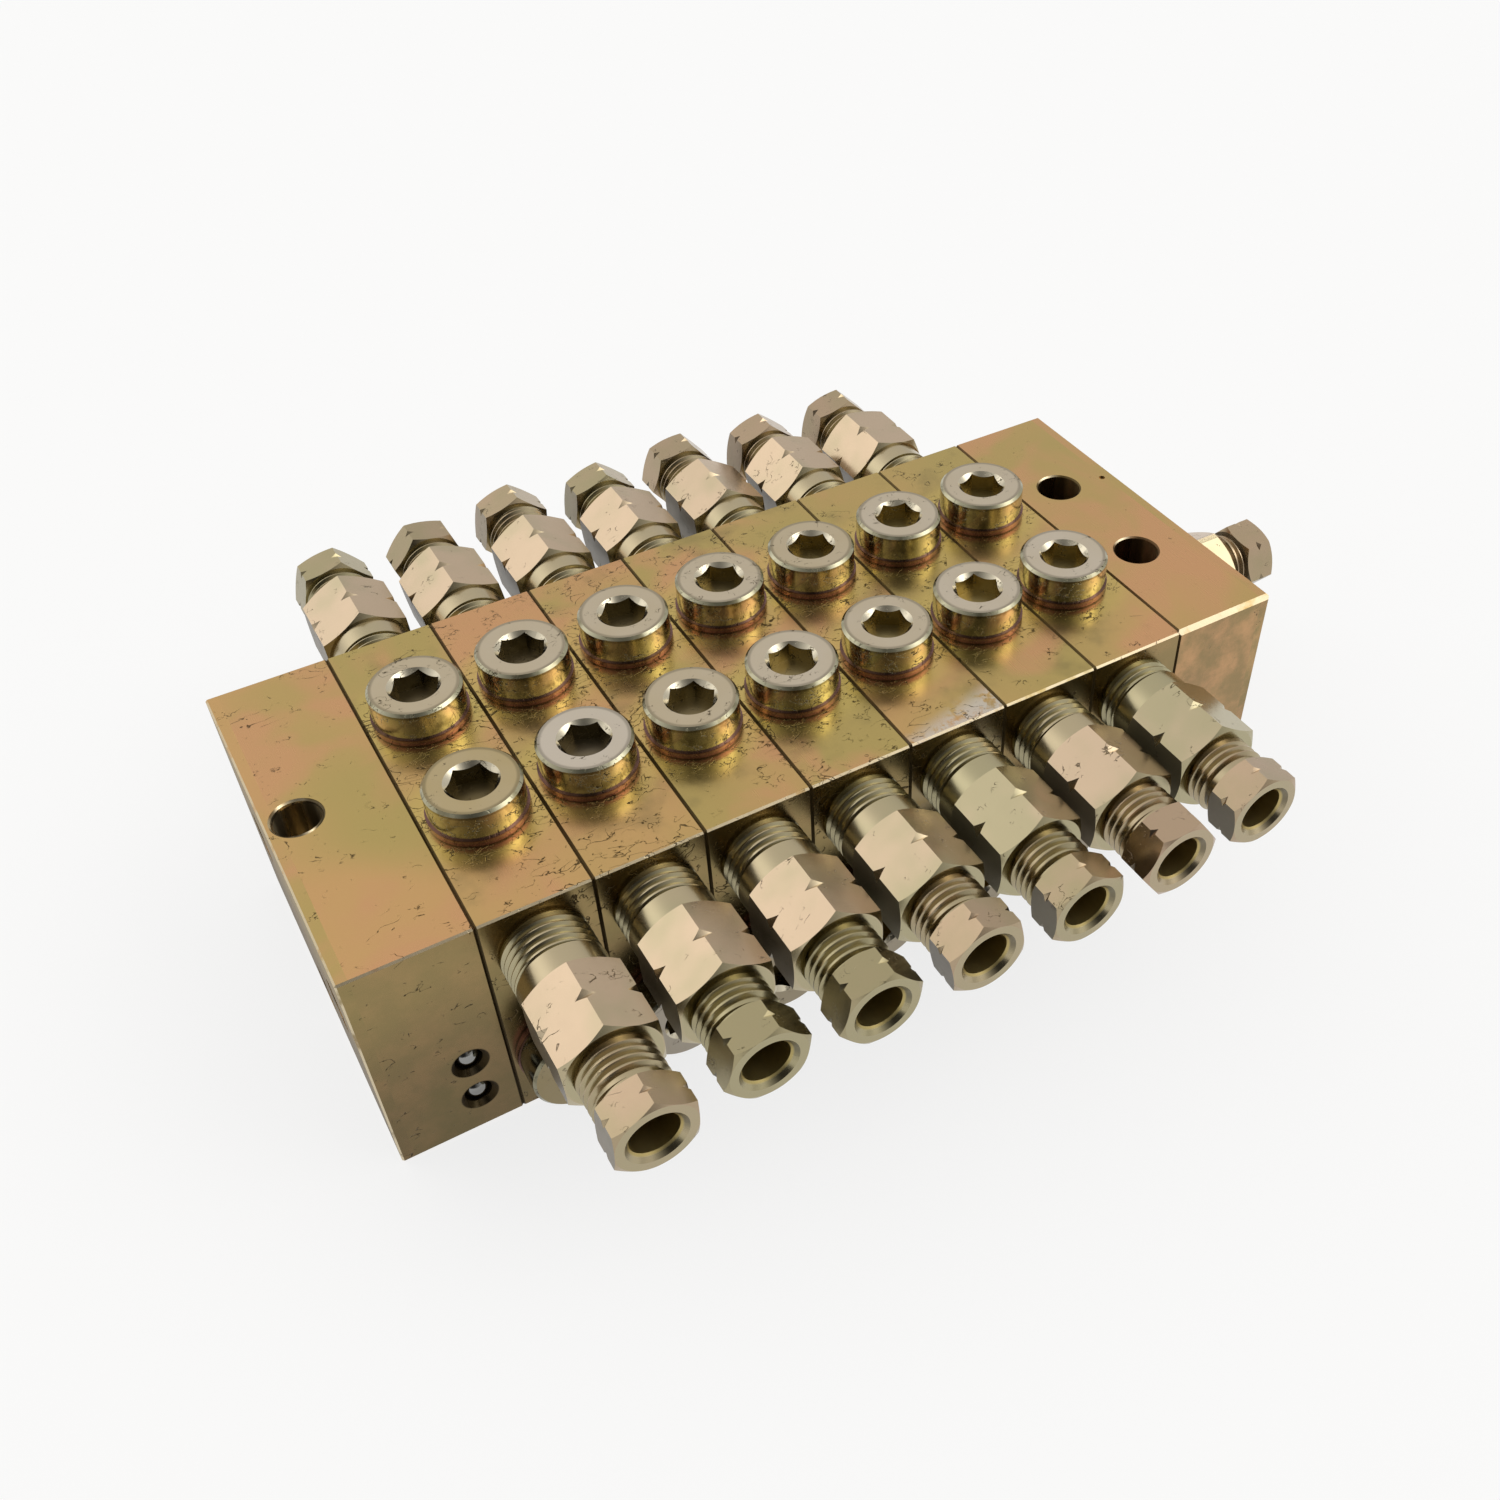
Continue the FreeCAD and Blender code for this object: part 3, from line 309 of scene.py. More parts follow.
class Graph:
    """The nodes of one material or of the world."""

    def __init__(self, tree):
        self.tree = tree
        tree.nodes.clear()

    def add(self, kind, settings=None, inputs=None, output=0):
        """Make a node, set it up, feed its sockets and return one of its outputs."""
        node = self.tree.nodes.new(kind)
        for name, value in (settings or {}).items():
            setattr(node, name, value)
        for name, value in (inputs or {}).items():
            self.feed(node.inputs[name], value)
        return Value(self, node.outputs[output]) if node.outputs else node

    def feed(self, socket, value):
        """Link a socket to a value, or set its own number or colour."""
        if isinstance(value, Value):
            self.tree.links.new(value.socket, socket)
        elif hasattr(value, "__len__") and len(value) == 3 and socket.type == "RGBA":
            socket.default_value = (*value, 1.0)
        else:
            socket.default_value = value

    def math(self, operation, *terms):
        return self.add("ShaderNodeMath", {"operation": operation}, dict(enumerate(terms)))

    def largest(self, first, *others):
        """The largest of several values."""
        for other in others:
            first = self.math("MAXIMUM", first, other)
        return first

    def parts(self, vector):
        """The X, Y and Z of a vector."""
        node = self.tree.nodes.new("ShaderNodeSeparateXYZ")
        self.feed(node.inputs[0], vector)
        return [Value(self, socket) for socket in node.outputs]

    def joined(self, x, y, z):
        return self.add("ShaderNodeCombineXYZ", None, {0: x, 1: y, 2: z})

    def vector(self, operation, first, second, output=0):
        return self.add("ShaderNodeVectorMath", {"operation": operation}, {0: first, 1: second}, output)

    def distance(self, x, y):
        """How far a spot on a plane lies from the middle of that plane."""
        return self.vector("LENGTH", self.joined(x, y, 0.0), (0.0, 0.0, 0.0), "Value")

    def mix(self, factor, first, second):
        """The first colour at factor 0 and the second one at 1."""
        settings = {"data_type": "RGBA", "blend_type": "MIX", "clamp_factor": True}
        return self.add("ShaderNodeMix", settings, {0: factor, 6: first, 7: second}, 2)

    def between(self, value, low, high):
        """0 below low, 1 above high and a smooth rise between them."""
        settings = {"interpolation_type": "SMOOTHSTEP", "clamp": True}
        return self.add("ShaderNodeMapRange", settings, {0: value, 1: low, 2: high, 3: 0.0, 4: 1.0})

    def within(self, value, low, high):
        """1 below low, 0 above high and a smooth fall between them."""
        return 1.0 - self.between(value, low, high)

    def noise(self, place, scale, detail=2.0, seed=0.0, roughness=0.5, distortion=0.0):
        inputs = {"Vector": place, "W": seed, "Scale": scale, "Detail": detail,
                  "Roughness": roughness, "Distortion": distortion}
        return self.add("ShaderNodeTexNoise", {"noise_dimensions": "4D"}, inputs)

    def steps(self, position, levels):
        """One of several levels, chosen by a position from 0 to 1."""
        node = self.tree.nodes.new("ShaderNodeValToRGB")
        ramp = node.color_ramp
        ramp.interpolation = "CONSTANT"
        while len(ramp.elements) < len(levels):
            ramp.elements.new(0.5)
        for index, level in enumerate(levels):
            ramp.elements[index].position = index / len(levels)
            ramp.elements[index].color = (level, level, level, 1.0)
        self.feed(node.inputs[0], position)
        return Value(self, node.outputs[0])

    def cracks(self, place, size, width, cover, seed):
        """Sparse, long, wriggling hair lines."""
        x, y, z = self.parts(place)
        stretched = self.joined(x * 0.75, y * 1.25, z)
        level = self.noise(stretched, 1.0 / size, 3.0, seed, roughness=0.45, distortion=0.7)
        line = self.within(abs(level - 0.5), width * 0.35, width)
        return line * self.between(self.noise(place, 0.55 / size, 3.0, seed + 5.0), cover, cover + 0.05)

    def hair(self, place, size, cover, seed):
        """Cracks of two sizes together."""
        wide = self.cracks(place, size, 0.010, cover, seed)
        return self.largest(wide, self.cracks(place, size * 0.45, 0.016, cover + 0.02, seed + 31.0))

    def finish(self, inputs, bump, bump_depth=0.0001, bump_strength=0.5):
        """Close the material with its surface."""
        bump_inputs = {"Height": bump, "Strength": bump_strength, "Distance": bump_depth}
        inputs["Normal"] = self.add("ShaderNodeBump", None, bump_inputs)
        surface = self.add("ShaderNodeBsdfPrincipled", None, inputs)
        self.add("ShaderNodeOutputMaterial", None, {"Surface": surface})


def new_material(name):
    """An empty material and the graph to fill."""
    material = bpy.data.materials.new(name)
    material.use_nodes = True
    return material, Graph(material.node_tree)


def object_place(graph):
    return graph.add("ShaderNodeTexCoord", None, None, "Object")


def facing(graph):
    """How much a surface faces along X, Y and Z, as three numbers from -1 to 1."""
    return graph.parts(graph.add("ShaderNodeNewGeometry", None, None, "Normal"))


def section_number(graph, x):
    """0 for the first working section, -1 for the end block and 7 for the inlet block."""
    return graph.math("FLOOR", (x - SECTIONS_LEFT) / SECTION_PITCH)


def from_middle(graph, x):
    """Distance along the stack from the middle of a working section."""
    number = section_number(graph, x)
    return x - SECTIONS_LEFT - (number + 0.5) * SECTION_PITCH


def outlet_number(graph, x):
    """Position along the row of outlets, from 0 to 1, one seventh for each outlet."""
    return (section_number(graph, x) + 0.5) / SECTION_COUNT


def from_outlet_axis(graph, x, z):
    """Distance from the axis of the outlet of this section."""
    return graph.distance(from_middle(graph, x), z - OUTLET_HEIGHT)


def lowered_sides(graph):
    """1 where a fitting faces sideways along the stack or down, and 0 on its upper faces and ends."""
    _, along, up = facing(graph)
    return graph.within(up, -0.05, 0.40) * graph.within(abs(along), 0.6, 0.9)


def dress(names, material):
    """Give CAD nodes a finish through their own slots."""
    for name in names:
        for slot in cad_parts[name].material_slots:
            slot.material = material


def at_rear(graph, y):
    """1 on the rear half of the block and 0 on the front half."""
    return graph.between(y, -0.001, 0.001)


def by_side(rear, front_value, rear_value):
    """The front fittings' value, or the rear ones'."""
    return front_value * (1.0 - rear) + rear_value * rear


def hexagon_faces(graph, x, from_axis, low, high):
    """1 on a fitting's hexagon, which stands out past its thread, and on the whole inlet fitting."""
    past_end = graph.between(x, STACK_RIGHT - 0.0001, STACK_RIGHT)
    return graph.largest(graph.between(from_axis, low, high), past_end)


def block_plating(colours, sizes):
    """Ground steel blocks under yellow chromate: cloudy gold, olive and rose with fine dark marks."""
    material, graph = new_material("block_plating")
    place = object_place(graph)
    x, y, z = graph.parts(place)
    number = section_number(graph, x)
    seed = number * 3.7
    across, along, up = [abs(part) for part in facing(graph)]
    at_inlet = graph.between(x, SECTIONS_RIGHT - 0.0005, SECTIONS_RIGHT + 0.0005)
    in_sections = graph.between(x, SECTIONS_LEFT - 0.0001, SECTIONS_LEFT + 0.0001) * (1.0 - at_inlet)

    # Gold turns olive and rose in clouds, with brown ones on the working sections.
    clouds = graph.noise(place, 20.0, 2.0, seed, roughness=0.45)
    patches = graph.noise(place, 44.0, 3.0, seed + 11.0, distortion=0.6)
    green = graph.steps((number + 1.5) / len(BLOCK_GREEN), BLOCK_GREEN)
    colour = graph.mix(graph.between(clouds + green * 0.45, 0.48, 0.78), colours.gold, colours.olive)
    colour = graph.mix(graph.between(patches - green * 0.12, 0.40, 0.60) * 0.85, colour, colours.rose)
    brown = graph.between(graph.noise(place, 60.0, 4.0, seed + 61.0, roughness=0.6), 0.50, 0.68)
    colour = graph.mix(brown * 0.45 * in_sections, colour, colours.shade)

    # A painted yellow reflection lies round the top plugs.
    from_plug = graph.distance(from_middle(graph, x), abs(y) - sizes.plug_row)
    round_plug = in_sections * graph.within(from_plug, sizes.plug_halo, sizes.halo_fade)
    colour = graph.mix(round_plug * 0.60, colour, colours.painted_yellow_light)

    # A scuffed patch lies at the front edge of the fifth section.
    on_fifth = graph.between(number, 3.4, 3.6) * graph.within(number, 4.4, 4.6)
    scuffed = on_fifth * graph.between(-y + 0.25 * from_middle(graph, x), 0.0330, 0.0380)
    scuffed = scuffed * graph.between(graph.noise(place, 300.0, 4.0, 71.0, roughness=0.7), 0.38, 0.52)
    colour = graph.mix(scuffed * 0.7, colour, colours.scuff)

    # Upright faces get painted shade, lighter and more olive high up and darkest near the bottom; the rose
    # mottle on them is the plating's own.
    upright = graph.between(1.0 - up, 0.35, 0.75)
    mottle = graph.noise(place, 160.0, 4.0, seed + 23.0, roughness=0.62)
    side_colour = graph.mix(graph.between(mottle, 0.35, 0.75), colours.shade, colours.rose)
    side_colour = graph.mix(0.20 + 0.60 * at_inlet, colours.shade, side_colour)
    high_up = graph.between(z, 0.3 * TOP, 0.9 * TOP)
    side_colour = graph.mix(high_up * 0.25 * (1.0 - at_inlet), side_colour, colours.olive)
    colour = graph.mix(upright * (0.9 - 0.2 * at_inlet), colour, side_colour)
    lowness = graph.within(z, 0.0, TOP)
    colour = graph.mix(upright * (1.0 - at_inlet) * lowness * 0.45, colour, colours.mark)

    # The wall of the threaded port is painted light.
    from_port = graph.distance(x - STACK_LEFT - sizes.port_inset, y)
    in_port = graph.within(from_port, sizes.port_radius + 0.0001, sizes.port_radius + 0.0003)
    colour = graph.mix(in_port * 0.7, colour, colours.edge)

    # Chamfers are painted bright, partly worn plating and partly a painted highlight, and dark at the
    # joints between the blocks.
    slope = 1.0 - graph.largest(across, along, up)
    sloping = graph.between(slope, 0.05, 0.2)
    wear_and_glint = graph.noise(place, 210.0, 3.0, 5.0, roughness=0.6)
    from_end = graph.math("MINIMUM", x - STACK_LEFT, STACK_RIGHT - x)
    at_joint = graph.between(across, 0.25, 0.5) * graph.between(from_end, 0.001, 0.002)
    edge = sloping * graph.between(wear_and_glint, 0.30, 0.50) * (1.0 - at_joint)
    colour = graph.mix(edge * 0.9, colour, colours.edge)
    colour = graph.mix(sloping * at_joint * 0.80, colour, colours.mark)

    # Hair cracks and flecks are densest on the left and round the plugs.
    busy = graph.between(x, -0.080, -0.060) * graph.within(x, 0.0, 0.05) * (1.0 - at_inlet)
    cover = 0.585 - 0.11 * round_plug - 0.06 * busy + 0.08 * at_inlet
    lines = graph.hair(place, 0.0042, cover, seed)
    flecks = graph.between(graph.noise(place, 900.0, 2.0, 41.0), 0.68, 0.74)
    flecks = flecks * graph.between(graph.noise(place, 110.0, 2.0, 43.0), 0.48, 0.62)
    marks = graph.largest(lines * 0.85, flecks * (0.5 + 0.5 * upright * at_inlet))
    colour = graph.mix(marks, colour, colours.mark)

    # The recesses round the sealing balls get painted shade.
    for ball_height in sizes.ball_heights:
        from_ball = graph.distance(x - STACK_LEFT - sizes.ball_inset, z - ball_height)
        recessed = graph.within(from_ball, sizes.ball_recess - 0.0001, sizes.ball_recess + 0.0002)
        colour = graph.mix(recessed * 0.9, colour, colours.mark)

    grain = graph.noise(graph.joined(x * 1400.0, y * 60.0, z * 900.0), 1.0, 2.0, 3.0)
    wobble = graph.noise(place, 150.0, 3.0, seed + 53.0)
    ripple = graph.noise(graph.joined(x * 500.0, y * 1300.0, z * 500.0), 1.0, 2.0, seed)
    height = wobble * 0.9 + grain * 0.08 + ripple * 0.22 * round_plug - marks * 0.8
    roughness = 0.17 + 0.12 * patches + 0.06 * grain + 0.3 * marks + 0.3 * sloping * at_joint
    roughness = roughness + 0.25 * graph.between(across, 0.7, 0.95)
    graph.finish({"Base Color": colour, "Metallic": 1.0, "Roughness": roughness}, height, 0.00012)
    return material


def union_plating(colours, sizes):
    """Turned hexagon bodies: cream faces with a yellow-green tint, and olive-gold round shanks."""
    material, graph = new_material("union_plating")
    place = object_place(graph)
    x, y, z = graph.parts(place)
    rear = at_rear(graph, y)
    seed = section_number(graph, x) * 2.3 + rear * 17.0
    soft = graph.noise(place, 85.0, 2.0, seed)
    fine = graph.noise(place, 420.0, 3.0, seed + 7.0, roughness=0.6)
    green = by_side(rear, graph.steps(outlet_number(graph, x), UNION_GREEN), REAR_UNION_GREEN)
    colour = graph.mix(graph.between(soft + green * 0.5, 0.45, 0.85) * 0.85, colours.cream, colours.tint)
    width = sizes.union_crest + 0.0002
    flats = hexagon_faces(graph, x, from_outlet_axis(graph, x, z), width, width + 0.0001)
    colour = graph.mix((1.0 - flats) * 0.6, colour, colours.tint)
    # Faces turned sideways or down get painted shade.
    lowered = lowered_sides(graph)
    colour = graph.mix(lowered * 0.8, colour, colours.painted_fitting_shade)
    # Faces turned to the front or rear get a painted yellow-green reflection.
    ends = graph.between(abs(facing(graph)[1]), 0.55, 0.80)
    colour = graph.mix(ends * 0.7, colour, colours.tint)
    lines = graph.hair(place, 0.0036, 0.60, seed) * flats
    colour = graph.mix(lines * 0.75, colour, colours.mark)
    height = soft * 0.5 + fine * 0.10 * flats - lines * 0.7
    roughness = 0.17 + 0.10 * fine + 0.2 * lines + 0.15 * lowered
    metallic = 1.0 - 0.6 * lowered
    graph.finish({"Base Color": colour, "Metallic": metallic, "Roughness": roughness}, height)
    return material


def nut_plating(colours, sizes):
    """Tube nuts, each a little warmer or cooler than its neighbour, with painted shade on their sideways
    faces and a painted yellow glint in their bores.
    """
    material, graph = new_material("nut_plating")
    place = object_place(graph)
    x, y, z = graph.parts(place)
    rear = at_rear(graph, y)
    seed = section_number(graph, x) * 4.1 + rear * 13.0
    warmth = by_side(rear, graph.steps(outlet_number(graph, x), NUT_WARMTH),
                     graph.steps(outlet_number(graph, x), REAR_NUT_WARMTH))
    soft = graph.noise(place, 140.0, 2.0, seed)
    fine = graph.noise(place, 620.0, 3.0, seed + 3.0, roughness=0.6)
    warm = graph.between(warmth + (soft - 0.5) * 0.9, 0.1, 0.9)
    colour = graph.mix(warm, colours.champagne, colours.blush)
    from_axis = from_outlet_axis(graph, x, z)
    flats = hexagon_faces(graph, x, from_axis, sizes.nut_crest - 0.00005, sizes.nut_crest)
    inside = graph.within(from_axis, sizes.nut_bore + 0.0002, sizes.nut_bore + 0.0005)
    colour = graph.mix((1.0 - flats) * 0.5, colour, colours.tint)
    # Faces turned sideways or down get painted shade, and the bores a painted yellow glint.
    lowered = lowered_sides(graph) * (1.0 - inside)
    colour = graph.mix(lowered * 0.8, colour, colours.painted_fitting_shade)
    colour = graph.mix(inside * 0.6, colour, colours.painted_yellow_light)
    lines = graph.hair(place, 0.0030, 0.60, seed) * flats
    colour = graph.mix(lines * 0.65, colour, colours.mark)
    height = soft * 0.4 + fine * 0.12 * flats - lines * 0.6
    roughness = 0.16 + 0.12 * fine + 0.2 * lines + 0.20 * inside + 0.15 * lowered
    metallic = 1.0 - 0.6 * lowered
    graph.finish({"Base Color": colour, "Metallic": metallic, "Roughness": roughness}, height)
    return material


def plug_plating(colours, sizes):
    """Screw plugs: silvery or gold turned faces, mirror-gold sides with scuffs, and sockets painted with
    shade and light.
    """
    material, graph = new_material("plug_plating")
    place = object_place(graph)
    x, y, z = graph.parts(place)
    number = section_number(graph, x)
    rear = at_rear(graph, y)
    seed = number * 5.9 + rear * 19.0
    _, along, up = facing(graph)
    on_top = graph.between(z, TOP, TOP + 0.0005)
    outward = on_top * up + (1.0 - on_top) * abs(along)
    is_face = graph.between(outward, 0.75, 0.98)

    # The socket, its countersink and the outer ring are told by their distance from the plug's axis.
    from_row = on_top * (abs(y) - sizes.plug_row) + (1.0 - on_top) * (z - sizes.bore_height)
    from_axis = graph.distance(from_middle(graph, x), from_row)
    in_socket = graph.within(from_axis, sizes.socket_width / 2, sizes.socket_width / 2 + 0.00002)
    mouth = graph.within(from_axis, sizes.socket_mouth / 2, sizes.socket_mouth / 2 + 0.0001)
    mouth = mouth * graph.within(abs(outward - 0.7), 0.12, 0.24)
    rim_start = sizes.plug_width / 2 - sizes.plug_rim
    at_rim = graph.between(from_axis, rim_start, rim_start + 0.0005)
    shoulder = TOP + sizes.plug_shoulder
    at_rim = at_rim * graph.between(z, shoulder, shoulder + 0.0002)

    silvering = by_side(rear, graph.steps(outlet_number(graph, x), PLUG_SILVER),
                        graph.steps(outlet_number(graph, x), REAR_PLUG_SILVER))
    soft = graph.noise(place, 120.0, 2.0, seed)
    fine = graph.noise(place, 700.0, 3.0, seed + 3.0, roughness=0.6)
    face = graph.mix(silvering + (soft - 0.5) * 0.4, colours.plug_gold, colours.silver)
    side = graph.mix(graph.between(soft, 0.3, 0.7) * 0.5, colours.brass, colours.tint)
    blotches = graph.between(graph.noise(place, 330.0, 2.0, seed + 9.0), 0.50, 0.66)
    side = graph.mix(blotches * 0.55, side, colours.shade)
    # The bore plugs, under the unions, get painted shade.
    side = graph.mix((1.0 - on_top) * 0.7, side, colours.painted_fitting_shade)
    face = graph.mix((1.0 - on_top) * 0.45, face, colours.painted_fitting_shade)
    colour = graph.mix(is_face, side, face)
    # The outer rim gets a painted shade band.
    colour = graph.mix(at_rim * 0.40, colour, colours.painted_fitting_shade)

    # Sockets get painted shade, darkest on the left, and painted yellow light for the rest; the
    # countersinks take the bright rim colour.
    darkness = 0.72 - 0.42 * graph.between(number, 0.5, 4.5)
    colour = graph.mix(in_socket * (1.0 - darkness), colour, colours.painted_yellow_light)
    colour = graph.mix(mouth, graph.mix(in_socket * darkness, colour, colours.mark), colours.rim)
    lines = graph.hair(place, 0.0030, 0.57 - 0.05 * (1.0 - is_face), seed)
    colour = graph.mix(lines * 0.85, colour, colours.mark)
    height = soft * 0.7 + fine * 0.10 - lines * 0.9
    roughness = 0.13 + 0.13 * is_face + 0.08 * fine + 0.25 * lines + 0.04 * in_socket * (1.0 - mouth)
    graph.finish({"Base Color": colour, "Metallic": 1.0, "Roughness": roughness}, height, 0.00012)
    return material


def copper_surface(colours):
    """Soft copper washers with a painted highlight along the squeezed edge and painted shade in the creases
    on both sides of it.
    """
    material, graph = new_material("washer_copper")
    place = object_place(graph)
    _, y, z = graph.parts(place)
    on_top = graph.between(z, TOP - 0.0010, TOP - 0.0005)
    level = on_top * (z - TOP) + (1.0 - on_top) * (abs(y) - HALF_WIDTH)
    soft = graph.noise(place, 260.0, 3.0, 1.0)
    dull = graph.noise(place, 900.0, 2.0, 2.0)
    dark = graph.mix(0.65, colours.copper, colours.mark)
    colour = graph.mix(graph.between(soft, 0.46, 0.70), colours.copper, dark)
    # The lip is a painted highlight and the creases get painted shade.
    lip = graph.between(level, 0.00075, 0.00100) * graph.within(level, 0.00115, 0.00135)
    colour = graph.mix(lip * 0.35, colour, colours.blush)
    low_crease = graph.within(level, 0.00015, 0.00045)
    high_crease = graph.between(level, 0.00125, 0.00148)
    colour = graph.mix(low_crease * 0.75 + high_crease * 0.60, colour, colours.mark)
    roughness = 0.16 + 0.20 * dull
    graph.finish({"Base Color": colour, "Metallic": 1.0, "Roughness": roughness}, soft, 0.00004)
    return material


def steel_surface(name, colour, mark, roughness):
    """Plain turned or ground steel."""
    material, graph = new_material(name)
    place = object_place(graph)
    fine = graph.noise(place, 800.0, 3.0, 1.0, roughness=0.6)
    soft = graph.noise(place, 120.0, 2.0, 4.0)
    shade = graph.mix(graph.between(soft, 0.45, 0.8) * 0.3, colour, mark)
    inputs = {"Base Color": shade, "Metallic": 1.0, "Roughness": roughness + 0.1 * fine}
    graph.finish(inputs, fine, 0.00005, 0.4)
    return material


def rubber_surface(colours):
    """Matt black seals."""
    material, graph = new_material("seal_rubber_finish")
    fine = graph.noise(object_place(graph), 1500.0, 3.0, 1.0)
    inputs = {"Base Color": colours.rubber, "Roughness": 0.55 + 0.2 * fine}
    graph.finish(inputs, fine, 0.00005)
    return material


# Width of a thread ridge at its foot and at its tip, as shares of the thread's pitch.
RIDGE_FOOT = 1.5
RIDGE_TIP = 0.12


def thread_tree():
    """A node tree that winds one screw thread up the Z axis, a ridge swept along a helix."""
    tree = bpy.data.node_groups.new("screw_thread", "GeometryNodeTree")
    numbers = {"Turns": 5.0, "Pitch": 0.0015, "Wall radius": 0.0073, "Ridge height": 0.0007,
               "Ridge foot": 0.0013, "Ridge tip": 0.0002}
    identifiers = {}
    for name, default in numbers.items():
        socket = tree.interface.new_socket(name, in_out="INPUT", socket_type="NodeSocketFloat")
        socket.default_value = default
        identifiers[name] = socket.identifier
    steps = tree.interface.new_socket("Steps", in_out="INPUT", socket_type="NodeSocketInt")
    steps.default_value = 48
    identifiers["Steps"] = steps.identifier
    finish = tree.interface.new_socket("Material", in_out="INPUT", socket_type="NodeSocketMaterial")
    identifiers["Material"] = finish.identifier
    tree.interface.new_socket("Thread", in_out="OUTPUT", socket_type="NodeSocketGeometry")

    graph = Graph(tree)
    given = tree.nodes.new("NodeGroupInput")

    def wish(name):
        return Value(graph, given.outputs[name])

    helix = graph.add("GeometryNodeCurveSpiral", None, {
        "Resolution": wish("Steps"), "Rotations": wish("Turns"), "Start Radius": wish("Wall radius"),
        "End Radius": wish("Wall radius"), "Height": wish("Turns") * wish("Pitch")})
    way = graph.add("GeometryNodeSplineParameter", None, None, "Factor")
    from_end = graph.math("MINIMUM", way, 1.0 - way) * wish("Turns") * 4.0
    swelling = graph.math("MINIMUM", graph.math("MAXIMUM", from_end, 0.05), 1.0)
    helix = graph.add("GeometryNodeSetCurveRadius", None, {"Curve": helix, "Radius": swelling})
    helix = graph.add("GeometryNodeSetCurveNormal", {"mode": "Z_UP"}, {"Curve": helix})
    ridge = graph.add("GeometryNodeCurvePrimitiveQuadrilateral", {"mode": "TRAPEZOID"}, {
        "Height": abs(wish("Ridge height")) * 2.0, "Bottom Width": wish("Ridge foot"),
        "Top Width": wish("Ridge tip"), "Offset": 0.0})
    turned = graph.add("GeometryNodeTransform", None, {
        "Geometry": ridge, "Rotation": (0.0, 0.0, math.radians(90))})
    swept = graph.add("GeometryNodeCurveToMesh", None, {
        "Curve": helix, "Profile Curve": turned, "Scale": swelling, "Fill Caps": True})
    solid = graph.add("GeometryNodeRealizeInstances", None, {"Geometry": swept})
    painted = graph.add("GeometryNodeSetMaterial", None, {"Geometry": solid, "Material": wish("Material")})
    tree.links.new(painted.socket, tree.nodes.new("NodeGroupOutput").inputs["Thread"])
    return tree, identifiers


class ThreadWinder:
    """Winds threads with one shared tree and gathers them into one mesh."""

    def __init__(self, name, material, steps):
        self.name = name
        self.material = material
        self.steps = steps
        self.tree, self.identifiers = thread_tree()
        self.gathered = bmesh.new()

    def wind(self, length, pitch, wall, ridge, place):
        """Add one thread that starts on Z = 0 of the place."""
        holder = bpy.data.objects.new("thread_holder", bpy.data.meshes.new("thread_holder"))
        bpy.context.scene.collection.objects.link(holder)
        modifier = holder.modifiers.new("thread", "NODES")
        modifier.node_group = self.tree
        wishes = {"Turns": length / pitch, "Pitch": pitch, "Wall radius": wall, "Ridge height": ridge,
                  "Ridge foot": pitch * RIDGE_FOOT, "Ridge tip": pitch * RIDGE_TIP, "Steps": self.steps,
                  "Material": self.material}
        for name, value in wishes.items():
            modifier[self.identifiers[name]] = value
        settled = bpy.context.evaluated_depsgraph_get()
        mesh = bpy.data.meshes.new_from_object(holder.evaluated_get(settled))
        mesh.transform(place)
        self.gathered.from_mesh(mesh)
        bpy.data.objects.remove(holder)
        bpy.data.meshes.remove(mesh)

    def piece(self, slot):
        """Make the gathered threads one piece on the block."""
        bmesh.ops.recalc_face_normals(self.gathered, faces=self.gathered.faces)
        mesh = bpy.data.meshes.new(self.name)
        self.gathered.to_mesh(mesh)
        self.gathered.free()
        mesh.materials.clear()
        mesh.materials.append(self.material)
        mesh.shade_smooth()
        mesh.set_sharp_from_angle(angle=math.radians(40))
        piece = bpy.data.objects.new(self.name, mesh)
        bpy.context.scene.collection.objects.link(piece)
        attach(piece, BLOCK_BODY)


def turned_to(axis, start):
    """A place whose Z axis points along axis, standing at start."""
    return Matrix.Translation(start) @ axis.to_track_quat("Z", "Y").to_matrix().to_4x4()


def fittings():
    """Every union with its nut, the face that it stands on and the way that it points."""
    found = []
    for side, way in (("front", Vector((0, -1, 0))), ("rear", Vector((0, 1, 0)))):
        for number in range(1, SECTION_COUNT + 1):
            names = ["outlet_%s_%s_%d" % (kind, side, number) for kind in ("union", "nut")]
            found.append((names[0], names[1], HALF_WIDTH, way))
    found.append(("inlet_union", "inlet_nut", STACK_RIGHT, Vector((1, 0, 0))))
    return found


def reach(name, way):
    """How far a node reaches along a direction."""
    low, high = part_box(name)
    return max(low.dot(way), high.dot(way))


def axis_start(name, way, distance):
    """The point on a fitting's axis at a distance from the origin along its direction."""
    low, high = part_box(name)
    middle = (low + high) / 2
    return middle + way * (distance - middle.dot(way))


class DIVIDER_OT_blocks(Operator):
    """Give the end block, the working sections and the inlet block their plating"""

    bl_idname = "divider.blocks"
    bl_label = "Blocks"

    def execute(self, context):
        names = ["end_block", "inlet_block"] + ["section_%d" % (k + 1) for k in range(SECTION_COUNT)]
        dress(names, block_plating(context.scene.divider_colours, context.scene.divider_sizes))
        return {"FINISHED"}


class DIVIDER_OT_unions(Operator):
    """Give the union bodies their plating and wind their threads"""

    bl_idname = "divider.unions"
    bl_label = "Union bodies"

    def execute(self, context):
        sizes = context.scene.divider_sizes
        material = union_plating(context.scene.divider_colours, sizes)
        winder = ThreadWinder("union_threads", material, sizes.steps)
        for union, _, face, way in fittings():
            dress([union], material)
            length = reach(union, way) - sizes.union_hexagon - sizes.union_collar - face
            place = turned_to(way, axis_start(union, way, face))
            winder.wind(length, sizes.pitch, sizes.union_root, sizes.union_crest - sizes.union_root, place)
        winder.piece("union_steel")
        return {"FINISHED"}


